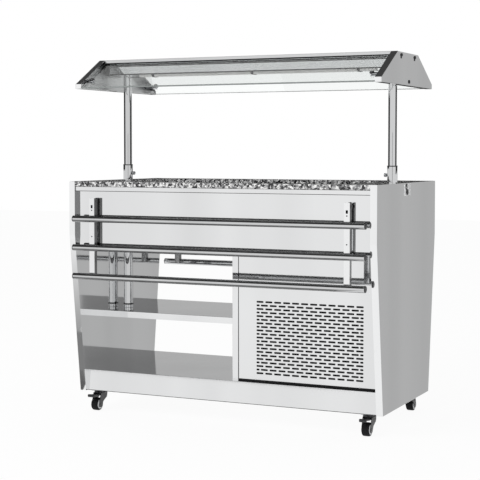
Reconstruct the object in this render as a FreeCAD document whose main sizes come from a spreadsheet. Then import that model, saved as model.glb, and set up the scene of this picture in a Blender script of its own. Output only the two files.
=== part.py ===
import FreeCAD, Part
import math
import os

import Sketcher

# A mobile salad bar: a refrigerated cabinet on casters with a cold well under a stone worktop,
# a canopy that telescopes on two posts, and a folding tray slide along each long side.
# Frame: millimetres, +X to the right seen from the front, +Y to the rear, +Z up.
# The origin lies on the floor under the middle of the cabinet.

DRIVING_SIZES = {
    # cabinet
    "overall_width": 1250,
    "panel_thickness": 25,
    "body_depth": 700,
    "foot_depth": 550,
    "bend_height": 692,
    "worktop_height": 900,
    "underside_height": 78,
    "sheet_thickness": 1.2,
    "slab_thickness": 20,
    "slab_depth": 690,
    "slab_edge_radius": 4,
    "frame_height": 15,
    "fascia_depth": 660,
    "fascia_bottom": 650,
    "fascia_flange": 20,
    "deck_height": 160,
    "deck_thickness": 2,
    "plinth_depth": 524,
    "plinth_flange": 15,
    "shelf_height": 378,
    "shelf_thickness": 25,
    "shelf_front_edge": 126,
    "shelf_rear_edge": 308,
    "bay_side": 22,
    "partition_width": 24,
    "grille_depth": 490,
    "door_gap": 2,
    # cold well
    "pan_opening_length": 984,
    "pan_opening_width": 536,
    "well_length": 960,
    "well_width": 512,
    "well_floor": 690,
    "ledge_height": 858,
    "well_corner_radius": 20,
    "well_flange": 30,
    "drain_radius": 12,
    "insulation_thickness": 28,
    "drain_along": 300,
    "drain_across": 10,
    # slots of the grille
    "slot_length": 28,
    "half_slot_length": 12.5,
    "slot_height": 6,
    "slot_column_pitch": 35.6,
    "slot_row_pitch": 13.3,
    "slot_columns": 12,
    "slot_rows": 11,
    "field_left": 121,
    "field_bottom": 190.5,
    # posts and guide tubes
    "post_spacing": 1128,
    "post_radius": 16,
    "post_clearance": 0.06,
    "guide_radius": 19,
    "guide_top": 960,
    "post_bottom": 668,
    # canopy
    "canopy_width": 1246,
    "cap_thickness": 25,
    "cap_bottom": 1258,
    "cap_knee": 1276,
    "canopy_top": 1378,
    "canopy_depth": 606,
    "roof_depth": 244,
    "roof_height": 11,
    "housing_depth": 168,
    "housing_bottom": 1318,
    "housing_seam": 1354,
    "glass_thickness": 6,
    "glass_drop": 12,
    # tray slides
    "tray_tube_radius": 12.5,
    "tray_tube_length": 1188,
    "tray_tube_depth": 744,
    "tray_tube_top": 758,
    "tray_tube_pitch": 110,
    "arm_spacing": 1036,
    "arm_width": 22,
    "arm_face_depth": 721,
    "arm_flange": 20,
    "arm_sheet": 2,
    "arm_bottom": 535,
    "arm_top": 837,
    "pivot_depth": 692,
    "pivot_height": 823,
    "pivot_radius": 4,
    # casters
    "caster_spacing_x": 1120,
    "caster_spacing_y": 464,
    "caster_offset": 26,
    "wheel_radius": 25,
    "wheel_width": 28,
    "axle_radius": 3.5,
    "running_clearance": 0.05,
}


class Dim:
    """A length that knows its number and the spreadsheet formula that drives it."""

    def __init__(self, value, text=None):
        self.value = float(value)
        self.text = text or repr(float(value))

    def __add__(self, other):
        other = as_dim(other)
        return Dim(self.value + other.value, f"({self.text} + {other.text})")

    def __sub__(self, other):
        other = as_dim(other)
        return Dim(self.value - other.value, f"({self.text} - {other.text})")

    def __rsub__(self, other):
        return as_dim(other) - self

    def __mul__(self, factor):
        return Dim(self.value * factor, f"({self.text} * {factor})")

    def __truediv__(self, divisor):
        return Dim(self.value / divisor, f"({self.text} / {divisor})")

    def __neg__(self):
        return Dim(-self.value, f"(0 - {self.text})")

    __radd__ = __add__
    __rmul__ = __mul__


def as_dim(number):
    return number if isinstance(number, Dim) else Dim(number)


doc = FreeCAD.newDocument("SaladBar")
sizes = doc.addObject("Spreadsheet::Sheet", "Sizes")
for row, (alias, number) in enumerate(DRIVING_SIZES.items(), start=1):
    sizes.set(f"A{row}", alias)
    sizes.set(f"B{row}", str(number))
    sizes.setAlias(f"B{row}", alias)
doc.recompute()


def size(alias):
    return Dim(sizes.get(alias), f"Sizes.{alias}")


nodes = []


def node(name, piece):
    """Registers a finished piece under its own name."""
    piece.Label = name
    nodes.append(piece)
    return piece


def bind(piece, target, dim):
    piece.setExpression(target, as_dim(dim).text)


def place(piece, x, y, z, rotation=None):
    """Puts a primitive at driven coordinates, turned by a fixed rotation."""
    turn = rotation or FreeCAD.Rotation()
    corner = FreeCAD.Vector(as_dim(x).value, as_dim(y).value, as_dim(z).value)
    piece.Placement = FreeCAD.Placement(corner, turn)
    for axis, dim in zip("xyz", (x, y, z)):
        bind(piece, f"Placement.Base.{axis}", dim)


def block(name, x, y, z):
    """A rectangular block; x, y and z are (low, high) pairs."""
    piece = doc.addObject("Part::Box", name)
    for prop, (low, high) in zip(("Length", "Width", "Height"), (x, y, z)):
        bind(piece, prop, as_dim(high) - low)
    place(piece, x[0], y[0], z[0])
    return piece


TURN_TO = {
    "x": FreeCAD.Rotation(FreeCAD.Vector(0, 1, 0), 90),
    "y": FreeCAD.Rotation(FreeCAD.Vector(1, 0, 0), -90),
    "z": FreeCAD.Rotation(),
}


def rod(name, axis, start, radius, length):
    """A round bar from its start point along +X, +Y or +Z."""
    piece = doc.addObject("Part::Cylinder", name)
    bind(piece, "Radius", radius)
    bind(piece, "Height", length)
    place(piece, *start, rotation=TURN_TO[axis])
    return piece


def prism(name, axis, start, radius, length, sides=12):
    """A many-sided bar from its start point, its flats at the radius."""
    piece = doc.addObject("Part::Prism", name)
    piece.Polygon = sides
    bind(piece, "Circumradius", as_dim(radius) * across_corners(sides))
    bind(piece, "Height", length)
    place(piece, *start, rotation=TURN_TO[axis])
    return piece


def across_corners(sides):
    """How much further out the corners of a regular outline stand than its flats."""
    return round(1 / math.cos(math.pi / sides), 5)


def many_sided(x, y, radius, sides=12):
    """Corners of a regular outline in which a round piece of this radius just fits."""
    reach = as_dim(radius) * across_corners(sides)
    turns = [math.pi * (2 * step + 1) / sides for step in range(sides)]
    return [(as_dim(x) + reach * round(math.cos(turn), 5), as_dim(y) + reach * round(math.sin(turn), 5))
            for turn in turns]


def cut(name, base, *tools):
    """The base with every tool taken out of it."""
    tool = tools[0]
    if len(tools) > 1:
        tool = fuse(name + "_tools", *tools)
    piece = doc.addObject("Part::Cut", name)
    piece.Base = base
    piece.Tool = tool
    return piece


def fuse(name, *pieces):
    piece = doc.addObject("Part::MultiFuse", name)
    piece.Shapes = list(pieces)
    piece.Refine = True
    return piece


def group(name, *pieces):
    """Identical separate solids kept as one piece."""
    piece = doc.addObject("Part::Compound", name)
    piece.Links = list(pieces)
    return piece


def mirrored(name, source, axis):
    piece = doc.addObject("Part::Mirroring", name)
    piece.Source = source
    piece.Normal = {"x": FreeCAD.Vector(1, 0, 0), "y": FreeCAD.Vector(0, 1, 0)}[axis]
    return piece


# ---- sketched bodies ----------------------------------------------------------------------

PLANE_ROLE = {"x": "YZ_Plane", "y": "XZ_Plane", "z": "XY_Plane"}
ORIGIN_POINT = -1
HORIZONTAL_AXIS = -1
VERTICAL_AXIS = -2
START, END, CENTRE = 1, 2, 3


def new_body(name):
    return doc.addObject("PartDesign::Body", name)


def new_sketch(body, axis, level):
    """A sketch square to an axis at a driven level; its own x and y are the other two axes."""
    sketch = body.newObject("Sketcher::SketchObject", body.Name + "_sketch")
    role = PLANE_ROLE[axis]
    plane = next(item for item in body.Origin.OriginFeatures if item.Role == role)
    sketch.AttachmentSupport = [(plane, "")]
    sketch.MapMode = "FlatFace"
    # the sketch plane square to Y faces -Y, so its offset runs the other way
    offset = -as_dim(level) if axis == "y" else as_dim(level)
    sketch.AttachmentOffset = FreeCAD.Placement(FreeCAD.Vector(0, 0, offset.value), FreeCAD.Rotation())
    bind(sketch, "AttachmentOffset.Base.z", offset)
    return sketch


def hold_point(sketch, element, spot, x, y):
    """Fixes one point of a sketch element at driven coordinates."""
    pairs = (("DistanceX", x, VERTICAL_AXIS), ("DistanceY", y, HORIZONTAL_AXIS))
    for kind, dim, line in pairs:
        if isinstance(dim, (int, float)) and dim == 0:
            sketch.addConstraint(Sketcher.Constraint("PointOnObject", element, spot, line))
            continue
        value = as_dim(dim).value
        index = sketch.addConstraint(Sketcher.Constraint(kind, ORIGIN_POINT, START, element, spot, value))
        bind(sketch, f"Constraints[{index}]", dim)


def draw_polygon(sketch, corners):
    """A closed outline of straight lines through driven corners."""
    points = [FreeCAD.Vector(as_dim(x).value, as_dim(y).value, 0) for x, y in corners]
    first = sketch.GeometryCount
    for start, end in zip(points, points[1:] + points[:1]):
        sketch.addGeometry(Part.LineSegment(start, end), False)
    for step, (x, y) in enumerate(corners):
        before = first + (step - 1) % len(corners)
        sketch.addConstraint(Sketcher.Constraint("Coincident", before, END, first + step, START))
        hold_point(sketch, first + step, START, x, y)


def draw_circle(sketch, x, y, radius):
    centre = FreeCAD.Vector(as_dim(x).value, as_dim(y).value, 0)
    circle = Part.Circle(centre, FreeCAD.Vector(0, 0, 1), as_dim(radius).value)
    element = sketch.addGeometry(circle, False)
    hold_point(sketch, element, CENTRE, x, y)
    index = sketch.addConstraint(Sketcher.Constraint("Radius", element, as_dim(radius).value))
    bind(sketch, f"Constraints[{index}]", radius)


def rectangle(half_x, half_y, centre_x=0, centre_y=0):
    left, right = as_dim(centre_x) - half_x, as_dim(centre_x) + half_x
    low, high = as_dim(centre_y) - half_y, as_dim(centre_y) + half_y
    return [(left, low), (right, low), (right, high), (left, high)]


def rounded_rectangle(half_x, half_y, radius, steps=3):
    """A rectangle about the origin whose corners turn in a few equal steps."""
    corners = []
    for side_x, side_y, start in ((1, 1, 0), (-1, 1, 90), (-1, -1, 180), (1, -1, 270)):
        for step in range(steps + 1):
            turn = math.radians(start + 90 * step / steps)
            corners.append(((as_dim(half_x) - radius) * side_x + as_dim(radius) * round(math.cos(turn), 5),
                            (as_dim(half_y) - radius) * side_y + as_dim(radius) * round(math.sin(turn), 5)))
    return corners


def draw_outlines(sketch, outlines, circles):
    for corners in outlines:
        draw_polygon(sketch, corners)
    for x, y, radius in circles:
        draw_circle(sketch, x, y, radius)


def pad(body, axis, low, high, outlines, circles=()):
    """Adds an extrusion of the outlines between two levels on an axis."""
    sketch = new_sketch(body, axis, high if axis == "y" else low)
    draw_outlines(sketch, outlines, circles)
    feature = body.newObject("PartDesign::Pad", body.Name + "_pad")
    feature.Profile = sketch
    bind(feature, "Length", as_dim(high) - low)
    doc.recompute()
    return feature


def pocket(body, axis, low, high, outlines, circles=(), refine=True):
    """Cuts the outlines out of the body between two levels on an axis."""
    before = body.Shape.Volume
    sketch = new_sketch(body, axis, low if axis == "y" else high)
    draw_outlines(sketch, outlines, circles)
    feature = body.newObject("PartDesign::Pocket", body.Name + "_pocket")
    feature.Profile = sketch
    feature.Refine = refine
    bind(feature, "Length", as_dim(high) - low)
    doc.recompute()
    if body.Shape.Volume >= before:
        raise RuntimeError(f"{feature.Name} cuts nothing")
    return feature


def extrusion(name, axis, low, high, outlines, circles=()):
    body = new_body(name)
    pad(body, axis, low, high, outlines, circles)
    return body


def fold_edges(body, wanted, width=0.8):
    """Breaks with a narrow flat the edges of the last feature whose middle point passes the test."""
    base = body.Tip
    names = []
    for number, edge in enumerate(base.Shape.Edges, start=1):
        if wanted(edge, edge.CenterOfMass):
            names.append(f"Edge{number}")
    if not names:
        raise RuntimeError(f"{body.Name} has no edge to break")
    feature = body.newObject("PartDesign::Chamfer", body.Name + "_edges")
    feature.Base = (base, names)
    bind(feature, "Size", width)
    doc.recompute()
    return feature


def runs_along(edge, axis):
    """Tells whether a straight edge lies along X, Y or Z."""
    if edge.Curve.TypeId != "Part::GeomLine":
        return False
    direction = edge.tangentAt(edge.FirstParameter)
    return abs(abs(getattr(direction, axis)) - 1) < 1e-6


def near(value, dim):
    return abs(value - as_dim(dim).value) < 0.05


# ---- shared levels ------------------------------------------------------------------------

sheet = size("sheet_thickness")
outer_x = size("overall_width") / 2
inner_x = outer_x - size("panel_thickness")
underside = size("underside_height")
top = size("worktop_height")
slab_bottom = top - size("slab_thickness")
fascia_top = slab_bottom - size("frame_height")
fascia_y = size("fascia_depth") / 2
fascia_low = size("fascia_bottom")
deck_top = size("deck_height")
plinth_y = size("plinth_depth") / 2
shelf_top = size("shelf_height")
bay_x = size("bay_side")
partition_x = bay_x + size("partition_width")
grille_y = size("grille_depth") / 2
post_x = size("post_spacing") / 2
guide_r = size("guide_radius")
guide_hole_r = guide_r + 0.3
well_floor = size("well_floor")
ledge = size("ledge_height")
drain_spot = (size("drain_along"), size("drain_across"))
drain_r = size("drain_radius")
post_holes = [many_sided(spot, 0, guide_hole_r) for spot in (post_x, -post_x)]
line_x = size("well_length") / 2 - 20
line_y = 200
line_r = 4
LINE_DROP = 25
line_holes = [rectangle(line_r + 1, line_r + 1, line_x, spot) for spot in (-line_y, line_y)]
drain_hole = rectangle(drain_r + sheet + 1, drain_r + sheet + 1, *drain_spot)


# ---- cabinet ------------------------------------------------------------------------------

def panel_outline(inset=0):
    """The side panel seen from the side: upright at the top, sloping in below the bend."""
    half_top = size("body_depth") / 2 - inset
    half_foot = size("foot_depth") / 2 - inset
    bend = size("bend_height")
    low, high = underside + inset, top - inset
    return [(-half_foot, low), (half_foot, low), (half_top, bend), (half_top, high),
            (-half_top, high), (-half_top, bend)]


SWITCH_Y, SWITCH_Z = -24, 886
GLAND_Y, GLAND_Z = -16, 866


def side_panel(name, side):
    """A folded sheet pan, open towards the cabinet, with returns on all its edges."""
    faces = sorted((inner_x * side, outer_x * side), key=lambda dim: dim.value)
    body = extrusion(name, "x", faces[0], faces[1], [panel_outline()])
    hollow = sorted((inner_x * side, (outer_x - sheet) * side), key=lambda dim: dim.value)
    pocket(body, "x", hollow[0], hollow[1], [panel_outline(sheet)])
    if side > 0:
        opening = rectangle(6.2, 11.2, SWITCH_Y, SWITCH_Z)
        pocket(body, "x", outer_x - 2 * sheet, outer_x, [opening, many_sided(GLAND_Y, GLAND_Z, 7)])
    fold_edges(body, lambda edge, mid: near(mid.x, outer_x * side) and edge.Length > 60)
    return node(name, body)


def side_liners():
    """The polished inner skins that close both side panels."""
    right = extrusion("liner_right", "x", inner_x, inner_x + sheet, [panel_outline(sheet)])
    return node("side_liners", group("liner_pair", right, mirrored("liner_left", right, "x")))


def channel_outline(face, flange, low, high, gauge):
    """A channel on its back: web at -face, flanges turned in towards the middle."""
    back = flange - face
    return [(-face, low), (back, low), (back, low + gauge), (gauge - face, low + gauge),
            (gauge - face, high - gauge), (back, high - gauge), (back, high), (-face, high)]


def fascias():
    """Upper front and rear skins, folded in at the top and bottom."""
    outline = channel_outline(fascia_y, size("fascia_flange"), fascia_low, fascia_top, sheet)
    front = extrusion("fascia_front", "x", -inner_x, inner_x, [outline])
    fold_edges(front, lambda edge, mid: near(mid.y, -fascia_y) and near(mid.z, fascia_low))
    node("front_fascia", front)
    node("rear_fascia", mirrored("fascia_rear", front, "y"))


def well_box_floor():
    """The sheet that closes the well box from below, pierced by the tubes, drain and lines."""
    half_y = fascia_y - size("fascia_flange")
    outlines = [rectangle(inner_x, half_y), drain_hole] + post_holes + line_holes
    node("well_box_floor", extrusion("box_floor", "z", fascia_low, fascia_low + sheet, outlines))


def worktop():
    """The stone slab, a frame round the pan opening, with softened edges."""
    half_y = size("slab_depth") / 2
    rim_x, rim_y = size("pan_opening_length") / 2, size("pan_opening_width") / 2
    corner = size("well_corner_radius")
    body = extrusion("slab", "z", slab_bottom, top,
                     [rectangle(inner_x, half_y), rounded_rectangle(rim_x, rim_y, corner)] + post_holes)
    fold_edges(body, lambda edge, mid: runs_along(edge, "x") and near(abs(mid.y), half_y),
               size("slab_edge_radius"))
    node("worktop", body)


def worktop_frame():
    """The folded steel pan under the slab; its lip shows as a bright strip."""
    half_y = size("slab_depth") / 2
    body = extrusion("frame_pan", "z", fascia_top, slab_bottom, [rectangle(inner_x, half_y)] + post_holes)
    pocket(body, "z", fascia_top, slab_bottom - sheet, [rectangle(inner_x - sheet, half_y - sheet)])
    flange = size("well_flange")
    opening = rectangle(size("pan_opening_length") / 2 + flange, size("pan_opening_width") / 2 + flange)
    pocket(body, "z", fascia_top, slab_bottom, [opening])
    node("worktop_frame", body)


def cold_well():
    """The pressed tank: a flange under the slab, a ledge for the pan rims, a floor with a drain."""
    corner = size("well_corner_radius")
    rim_x, rim_y = size("pan_opening_length") / 2, size("pan_opening_width") / 2
    tank_x, tank_y = size("well_length") / 2, size("well_width") / 2
    flange = size("well_flange")
    body = extrusion("tank", "z", well_floor - sheet, slab_bottom - sheet,
                     [rectangle(tank_x + sheet, tank_y + sheet)])
    pad(body, "z", ledge - sheet, slab_bottom - sheet, [rectangle(rim_x + sheet, rim_y + sheet)])
    pad(body, "z", slab_bottom - sheet, slab_bottom, [rectangle(rim_x + flange, rim_y + flange)])
    pocket(body, "z", ledge, slab_bottom, [rounded_rectangle(rim_x, rim_y, corner)])
    pocket(body, "z", well_floor, ledge, [rounded_rectangle(tank_x, tank_y, corner)])
    pocket(body, "z", well_floor - sheet, well_floor, [many_sided(*drain_spot, drain_r)])
    pad(body, "z", fascia_low - 60, well_floor - sheet,
        [many_sided(*drain_spot, drain_r), many_sided(*drain_spot, drain_r + sheet)])
    node("cold_well", body)


COIL_CAVITY_X, COIL_CAVITY_Y, COIL_CAVITY_DEPTH = 472, 246, 10


def well_insulation():
    """The foam round the tank, with a flat cavity under the floor for the cooling coil."""
    rim_x, rim_y = size("pan_opening_length") / 2 + sheet, size("pan_opening_width") / 2 + sheet
    tank_x, tank_y = size("well_length") / 2 + sheet, size("well_width") / 2 + sheet
    low, high = fascia_low + sheet, slab_bottom - sheet
    tank_low = well_floor - sheet
    wall = size("insulation_thickness")
    body = extrusion("foam", "z", low, high, [rectangle(tank_x + wall, tank_y + wall)])
    pocket(body, "z", ledge - sheet, high, [rectangle(rim_x, rim_y)])
    pocket(body, "z", tank_low, ledge - sheet, [rectangle(tank_x, tank_y)])
    cavity = rectangle(COIL_CAVITY_X, COIL_CAVITY_Y)
    pocket(body, "z", tank_low - COIL_CAVITY_DEPTH, tank_low, [cavity])
    pocket(body, "z", low, tank_low - COIL_CAVITY_DEPTH, [drain_hole] + line_holes)
    node("well_insulation", body)


def pipe_along(name, points, radius):
    """An eight-sided pipe along straight runs with mitred corners."""
    path = Part.makePolygon([FreeCAD.Vector(*point) for point in points])
    ahead = (path.Vertexes[1].Point - path.Vertexes[0].Point).normalize()
    across = ahead.cross(FreeCAD.Vector(1, 0, 0) if abs(ahead.x) < 0.5 else FreeCAD.Vector(0, 1, 0))
    turns = [FreeCAD.Rotation(ahead, 22.5 + 45 * step) for step in range(9)]
    ring = Part.makePolygon([path.Vertexes[0].Point + turn.multVec(across) * radius for turn in turns])
    piece = doc.addObject("Part::Feature", name)
    piece.Shape = path.makePipeShell([ring], True, False, 1)
    return piece


def cooling_coil():
    """One serpentine pipe close to the tank floor; both ends turn down at the machine side."""
    level = (well_floor - sheet).value - line_r - 0.5
    far, close = -line_x.value, line_x.value
    pitch = line_y * 2 / 3
    rows = [line_y - pitch * step for step in range(4)]
    points = [(close, rows[0], level - LINE_DROP), (close, rows[0], level)]
    for step, row in enumerate(rows[:-1]):
        side = far if step % 2 == 0 else close - 60
        points += [(side, row, level), (side, row - pitch, level)]
    points += [(close, rows[-1], level), (close, rows[-1], level - LINE_DROP)]
    node("cooling_coil", pipe_along("coil", points, line_r))


def deck():
    """The bottom shelf of the open bay, also the floor of the machine compartment."""
    body = extrusion("deck_sheet", "z", deck_top - size("deck_thickness"), deck_top,
                     [rectangle(inner_x, plinth_y)])
    fold_edges(body, lambda edge, mid: near(abs(mid.y), plinth_y) and near(mid.z, deck_top))
    node("deck", body)


def plinths():
    """Front and rear channels under the deck."""
    high = deck_top - size("deck_thickness")
    outline = channel_outline(plinth_y, size("plinth_flange"), underside, high, sheet)
    front = extrusion("plinth_front", "x", -inner_x, inner_x, [outline])
    fold_edges(front, lambda edge, mid: near(mid.y, -plinth_y) and near(mid.z, underside))
    node("front_plinth", front)
    node("rear_plinth", mirrored("plinth_rear", front, "y"))


def caster_channels():
    """Upturned channels between the plinths that carry the casters."""
    gauge, height, half_width = 2, 32, 37
    middle = size("caster_spacing_x") / 2
    left, right = middle - half_width, middle + half_width
    low = underside
    outline = [(left, low), (right, low), (right, low + height), (right - gauge, low + height),
               (right - gauge, low + gauge), (left + gauge, low + gauge),
               (left + gauge, low + height), (left, low + height)]
    half_length = plinth_y - size("plinth_flange") - 0.5
    channel = extrusion("channel_right", "y", -half_length, half_length, [outline])
    pair = group("channel_pair", channel, mirrored("channel_left", channel, "x"))
    node("caster_channels", pair)


def mid_shelf():
    """A folded pan between the left side and the partition, standing back from the front."""
    half_x = (inner_x + bay_x) / 2
    middle_x = (bay_x - inner_x) / 2
    front, rear = -size("shelf_front_edge"), size("shelf_rear_edge")
    half_y, middle_y = (rear - front) / 2, (rear + front) / 2
    low = shelf_top - size("shelf_thickness")
    body = extrusion("shelf_pan", "z", low, shelf_top, [rectangle(half_x, half_y, middle_x, middle_y)])
    pocket(body, "z", low, shelf_top - sheet,
           [rectangle(half_x - sheet, half_y - sheet, middle_x, middle_y)])
    fold_edges(body, lambda edge, mid: near(mid.y, front) and near(mid.z, shelf_top))
    node("mid_shelf", body)


def divider_panel():
    """The partition between the open bay and the machines: a channel with its back to the bay."""
    outline = [(bay_x, -grille_y), (partition_x, -grille_y), (partition_x, sheet - grille_y),
               (bay_x + sheet, sheet - grille_y), (bay_x + sheet, grille_y - sheet),
               (partition_x, grille_y - sheet), (partition_x, grille_y), (bay_x, grille_y)]
    body = extrusion("divider", "z", deck_top, fascia_low, [outline])
    fold_edges(body, lambda edge, mid: near(mid.x, bay_x) and near(abs(mid.y), grille_y))
    node("divider_panel", body)


def slot_field(body, columns, rows, left, bottom, length, thickness_levels):
    """One row-and-column field of slots, cut as a pattern of a single slot."""
    low, high = thickness_levels
    half_length, half_height = as_dim(length) / 2, size("slot_height") / 2
    slot = rectangle(half_length, half_height, left + half_length, bottom + half_height)
    first = pocket(body, "y", low, high, [slot], refine=False)
    pattern = body.newObject("PartDesign::LinearPattern", body.Name + "_field")
    pattern.Originals = [first]
    pattern.Refine = False
    sketch = first.Profile[0]
    pattern.Direction = (sketch, ["H_Axis"])
    pattern.Occurrences = columns
    pattern.Direction2 = (sketch, ["V_Axis"])
    pattern.Occurrences2 = rows
    bind(pattern, "Length", size("slot_column_pitch") * max(columns - 1, 1))
    bind(pattern, "Length2", size("slot_row_pitch") * 2 * max(rows - 1, 1))
    body.Tip = pattern
    before = first.Shape.Volume
    doc.recompute()
    if columns * rows > 1 and pattern.Shape.Volume >= before:
        raise RuntimeError(f"{pattern.Name} repeats nothing")


def vent_panel(name, back):
    """A folded service panel with staggered slots; back turns it to the rear of the cabinet."""
    gauge, flange = sheet, 12
    left, right = partition_x + size("door_gap"), inner_x
    low, high = deck_top + size("door_gap"), fascia_low
    middle_x, half_x = (left + right) / 2, (right - left) / 2
    middle_z, half_z = (low + high) / 2, (high - low) / 2
    body = extrusion(name, "y", -grille_y, flange - grille_y,
                     [rectangle(half_x, half_z, middle_x, middle_z)])
    pocket(body, "y", gauge - grille_y, flange - grille_y,
           [rectangle(half_x - gauge, half_z - gauge, middle_x, middle_z)])
    faces = (-grille_y, gauge - grille_y)
    columns, rows = DRIVING_SIZES["slot_columns"], DRIVING_SIZES["slot_rows"]
    long_slot = size("slot_length")
    half_slot = size("half_slot_length")
    step = size("slot_column_pitch") / 2
    field_x, field_z = size("field_left"), size("field_bottom")
    between = field_z + size("slot_row_pitch")
    if back:
        slot_field(body, columns // 3, rows // 5, field_x + step * 8, field_z + 100, long_slot, faces)
        return mirrored(name + "_turned", body, "y")
    slot_field(body, columns, rows, field_x, field_z, long_slot, faces)
    slot_field(body, columns - 1, rows - 1, field_x + step, between, long_slot, faces)
    slot_field(body, 1, rows - 1, field_x, between, half_slot, faces)
    field_right = field_x + size("slot_column_pitch") * (columns - 1) + long_slot
    slot_field(body, 1, rows - 1, field_right - half_slot, between, half_slot, faces)
    return body


def vent_panels():
    node("grille_panel", vent_panel("grille_front", False))
    node("rear_service_panel", vent_panel("service_rear", True))


# ---- machine compartment ------------------------------------------------------------------

COMPRESSOR_X, COMPRESSOR_Y = 410, 110
CONDENSER_X, CONDENSER_Y = 250, -165
CONDENSER_HALF, CONDENSER_TOP = 150, 430
FAN_X, FAN_Y, FAN_Z = 250, -118, 300
FAN_HOLE_RADIUS, FAN_REACH = 112, 98


def compressor():
    """A hermetic pot with a stepped lid on a foot plate with four mounts."""
    base = deck_top
    pot_low, shoulder, pot_high = base + 14, base + 120, base + 182
    foot = block("compressor_foot", (COMPRESSOR_X - 80, COMPRESSOR_X + 80),
                 (COMPRESSOR_Y - 60, COMPRESSOR_Y + 60), (base + 10, base + 14))
    mounts = [block(f"compressor_mount_{side + 1}{end + 1}",
                    (COMPRESSOR_X + 66 * side - 9, COMPRESSOR_X + 66 * side + 9),
                    (COMPRESSOR_Y + 44 * end - 9, COMPRESSOR_Y + 44 * end + 9), (base, base + 10))
              for side in (-1, 1) for end in (-1, 1)]
    radius = 74
    seam = shoulder + 30
    stack = [prism(f"compressor_{label}", "z", (COMPRESSOR_X, COMPRESSOR_Y, low), reach, high - low)
             for label, reach, low, high in (("pot", radius, pot_low, shoulder),
                                             ("shoulder", radius - 8, shoulder, seam),
                                             ("lid", radius - 26, seam, pot_high))]
    node("compressor", fuse("compressor_body", foot, *mounts, *stack))


def condenser():
    """The finned block behind the grille: grooves between the fins leave a tube core."""
    low = deck_top
    half_depth, core, fin_pitch, groove = 22, 8, 40, 32
    body = extrusion("condenser_block", "z", low, CONDENSER_TOP,
                     [rectangle(CONDENSER_HALF, half_depth, CONDENSER_X, CONDENSER_Y)])
    count = 7
    first_x = CONDENSER_X - fin_pitch * (count - 1) / 2
    front = rectangle(groove / 2, (half_depth - core) / 2, first_x, CONDENSER_Y - (half_depth + core) / 2)
    rear = rectangle(groove / 2, (half_depth - core) / 2, first_x, CONDENSER_Y + (half_depth + core) / 2)
    first = pocket(body, "z", low + 12, CONDENSER_TOP - 12, [front, rear])
    pattern = body.newObject("PartDesign::LinearPattern", "condenser_fins")
    pattern.Originals = [first]
    pattern.Direction = (first.Profile[0], ["H_Axis"])
    pattern.Occurrences = count
    pattern.Length = fin_pitch * (count - 1)
    body.Tip = pattern
    doc.recompute()
    node("condenser", body)


def fan():
    """The shroud with its motor bridge, and the blade wheel that turns in it."""
    plate = block("shroud_plate", (CONDENSER_X - 150, CONDENSER_X + 150), (FAN_Y - 22, FAN_Y - 20),
                  (deck_top, CONDENSER_TOP))
    side_a = block("shroud_left", (CONDENSER_X - 150, CONDENSER_X - 148), (FAN_Y - 22, FAN_Y + 24),
                   (deck_top, CONDENSER_TOP))
    side_b = block("shroud_right", (CONDENSER_X + 148, CONDENSER_X + 150), (FAN_Y - 22, FAN_Y + 24),
                   (deck_top, CONDENSER_TOP))
    hole = prism("shroud_hole", "y", (FAN_X, FAN_Y - 24, FAN_Z), FAN_HOLE_RADIUS, 6, 20)
    bridge = block("motor_bridge", (CONDENSER_X - 148, CONDENSER_X + 148), (FAN_Y + 22, FAN_Y + 24),
                   (FAN_Z - 15, FAN_Z + 15))
    motor = prism("motor_can", "y", (FAN_X, FAN_Y + 24, FAN_Z), 30, 44)
    shaft = rod("motor_shaft", "y", (FAN_X, FAN_Y - 6, FAN_Z), 4, 30)
    shroud = cut("shroud_open", fuse("shroud_sheet", plate, side_a, side_b), hole)
    node("fan_shroud", fuse("shroud", shroud, bridge, motor, shaft))

    hub = prism("fan_hub", "y", (FAN_X, FAN_Y - 10, FAN_Z), 24, 20)
    blades = []
    count = 5
    for step in range(count):
        blade = doc.addObject("Part::Box", f"fan_blade_{step}")
        blade.Length, blade.Width, blade.Height = 60, 2, FAN_REACH - 16
        pitch = FreeCAD.Rotation(FreeCAD.Vector(0, 0, 1), 28)
        spin = FreeCAD.Rotation(FreeCAD.Vector(0, 1, 0), 360 * step / count)
        corner = pitch.multVec(FreeCAD.Vector(-30, -1, 0)) + FreeCAD.Vector(0, 0, 16)
        local = FreeCAD.Placement(corner, pitch)
        blade.Placement = FreeCAD.Placement(FreeCAD.Vector(FAN_X, FAN_Y, FAN_Z), spin).multiply(local)
        blades.append(blade)
    bore = prism("fan_bore", "y", (FAN_X, FAN_Y - 40, FAN_Z), 4 + size("running_clearance"), 80)
    node("fan_blade", cut("fan_wheel", fuse("fan_blades", hub, *blades), bore))


def refrigerant_lines():
    """Suction and liquid lines from the machines up to the coil ends."""
    top_end = (well_floor - sheet).value - line_r - 0.5 - LINE_DROP
    x = line_x.value
    lid_z = deck_top.value + 182
    suction = pipe_along("suction_line", [
        (x, line_y, top_end), (x, line_y, 520), (COMPRESSOR_X, line_y, 520),
        (COMPRESSOR_X, COMPRESSOR_Y, 520), (COMPRESSOR_X, COMPRESSOR_Y, lid_z)], line_r)
    liquid = pipe_along("liquid_line", [
        (x, -line_y, top_end), (x, -line_y, 470), (CONDENSER_X + 100, -line_y, 470),
        (CONDENSER_X + 100, CONDENSER_Y, 470), (CONDENSER_X + 100, CONDENSER_Y, CONDENSER_TOP)], line_r)
    node("refrigerant_lines", group("line_pair", suction, liquid))


# ---- side fitting -------------------------------------------------------------------------

PLATE_GAUGE = 1.5


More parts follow.
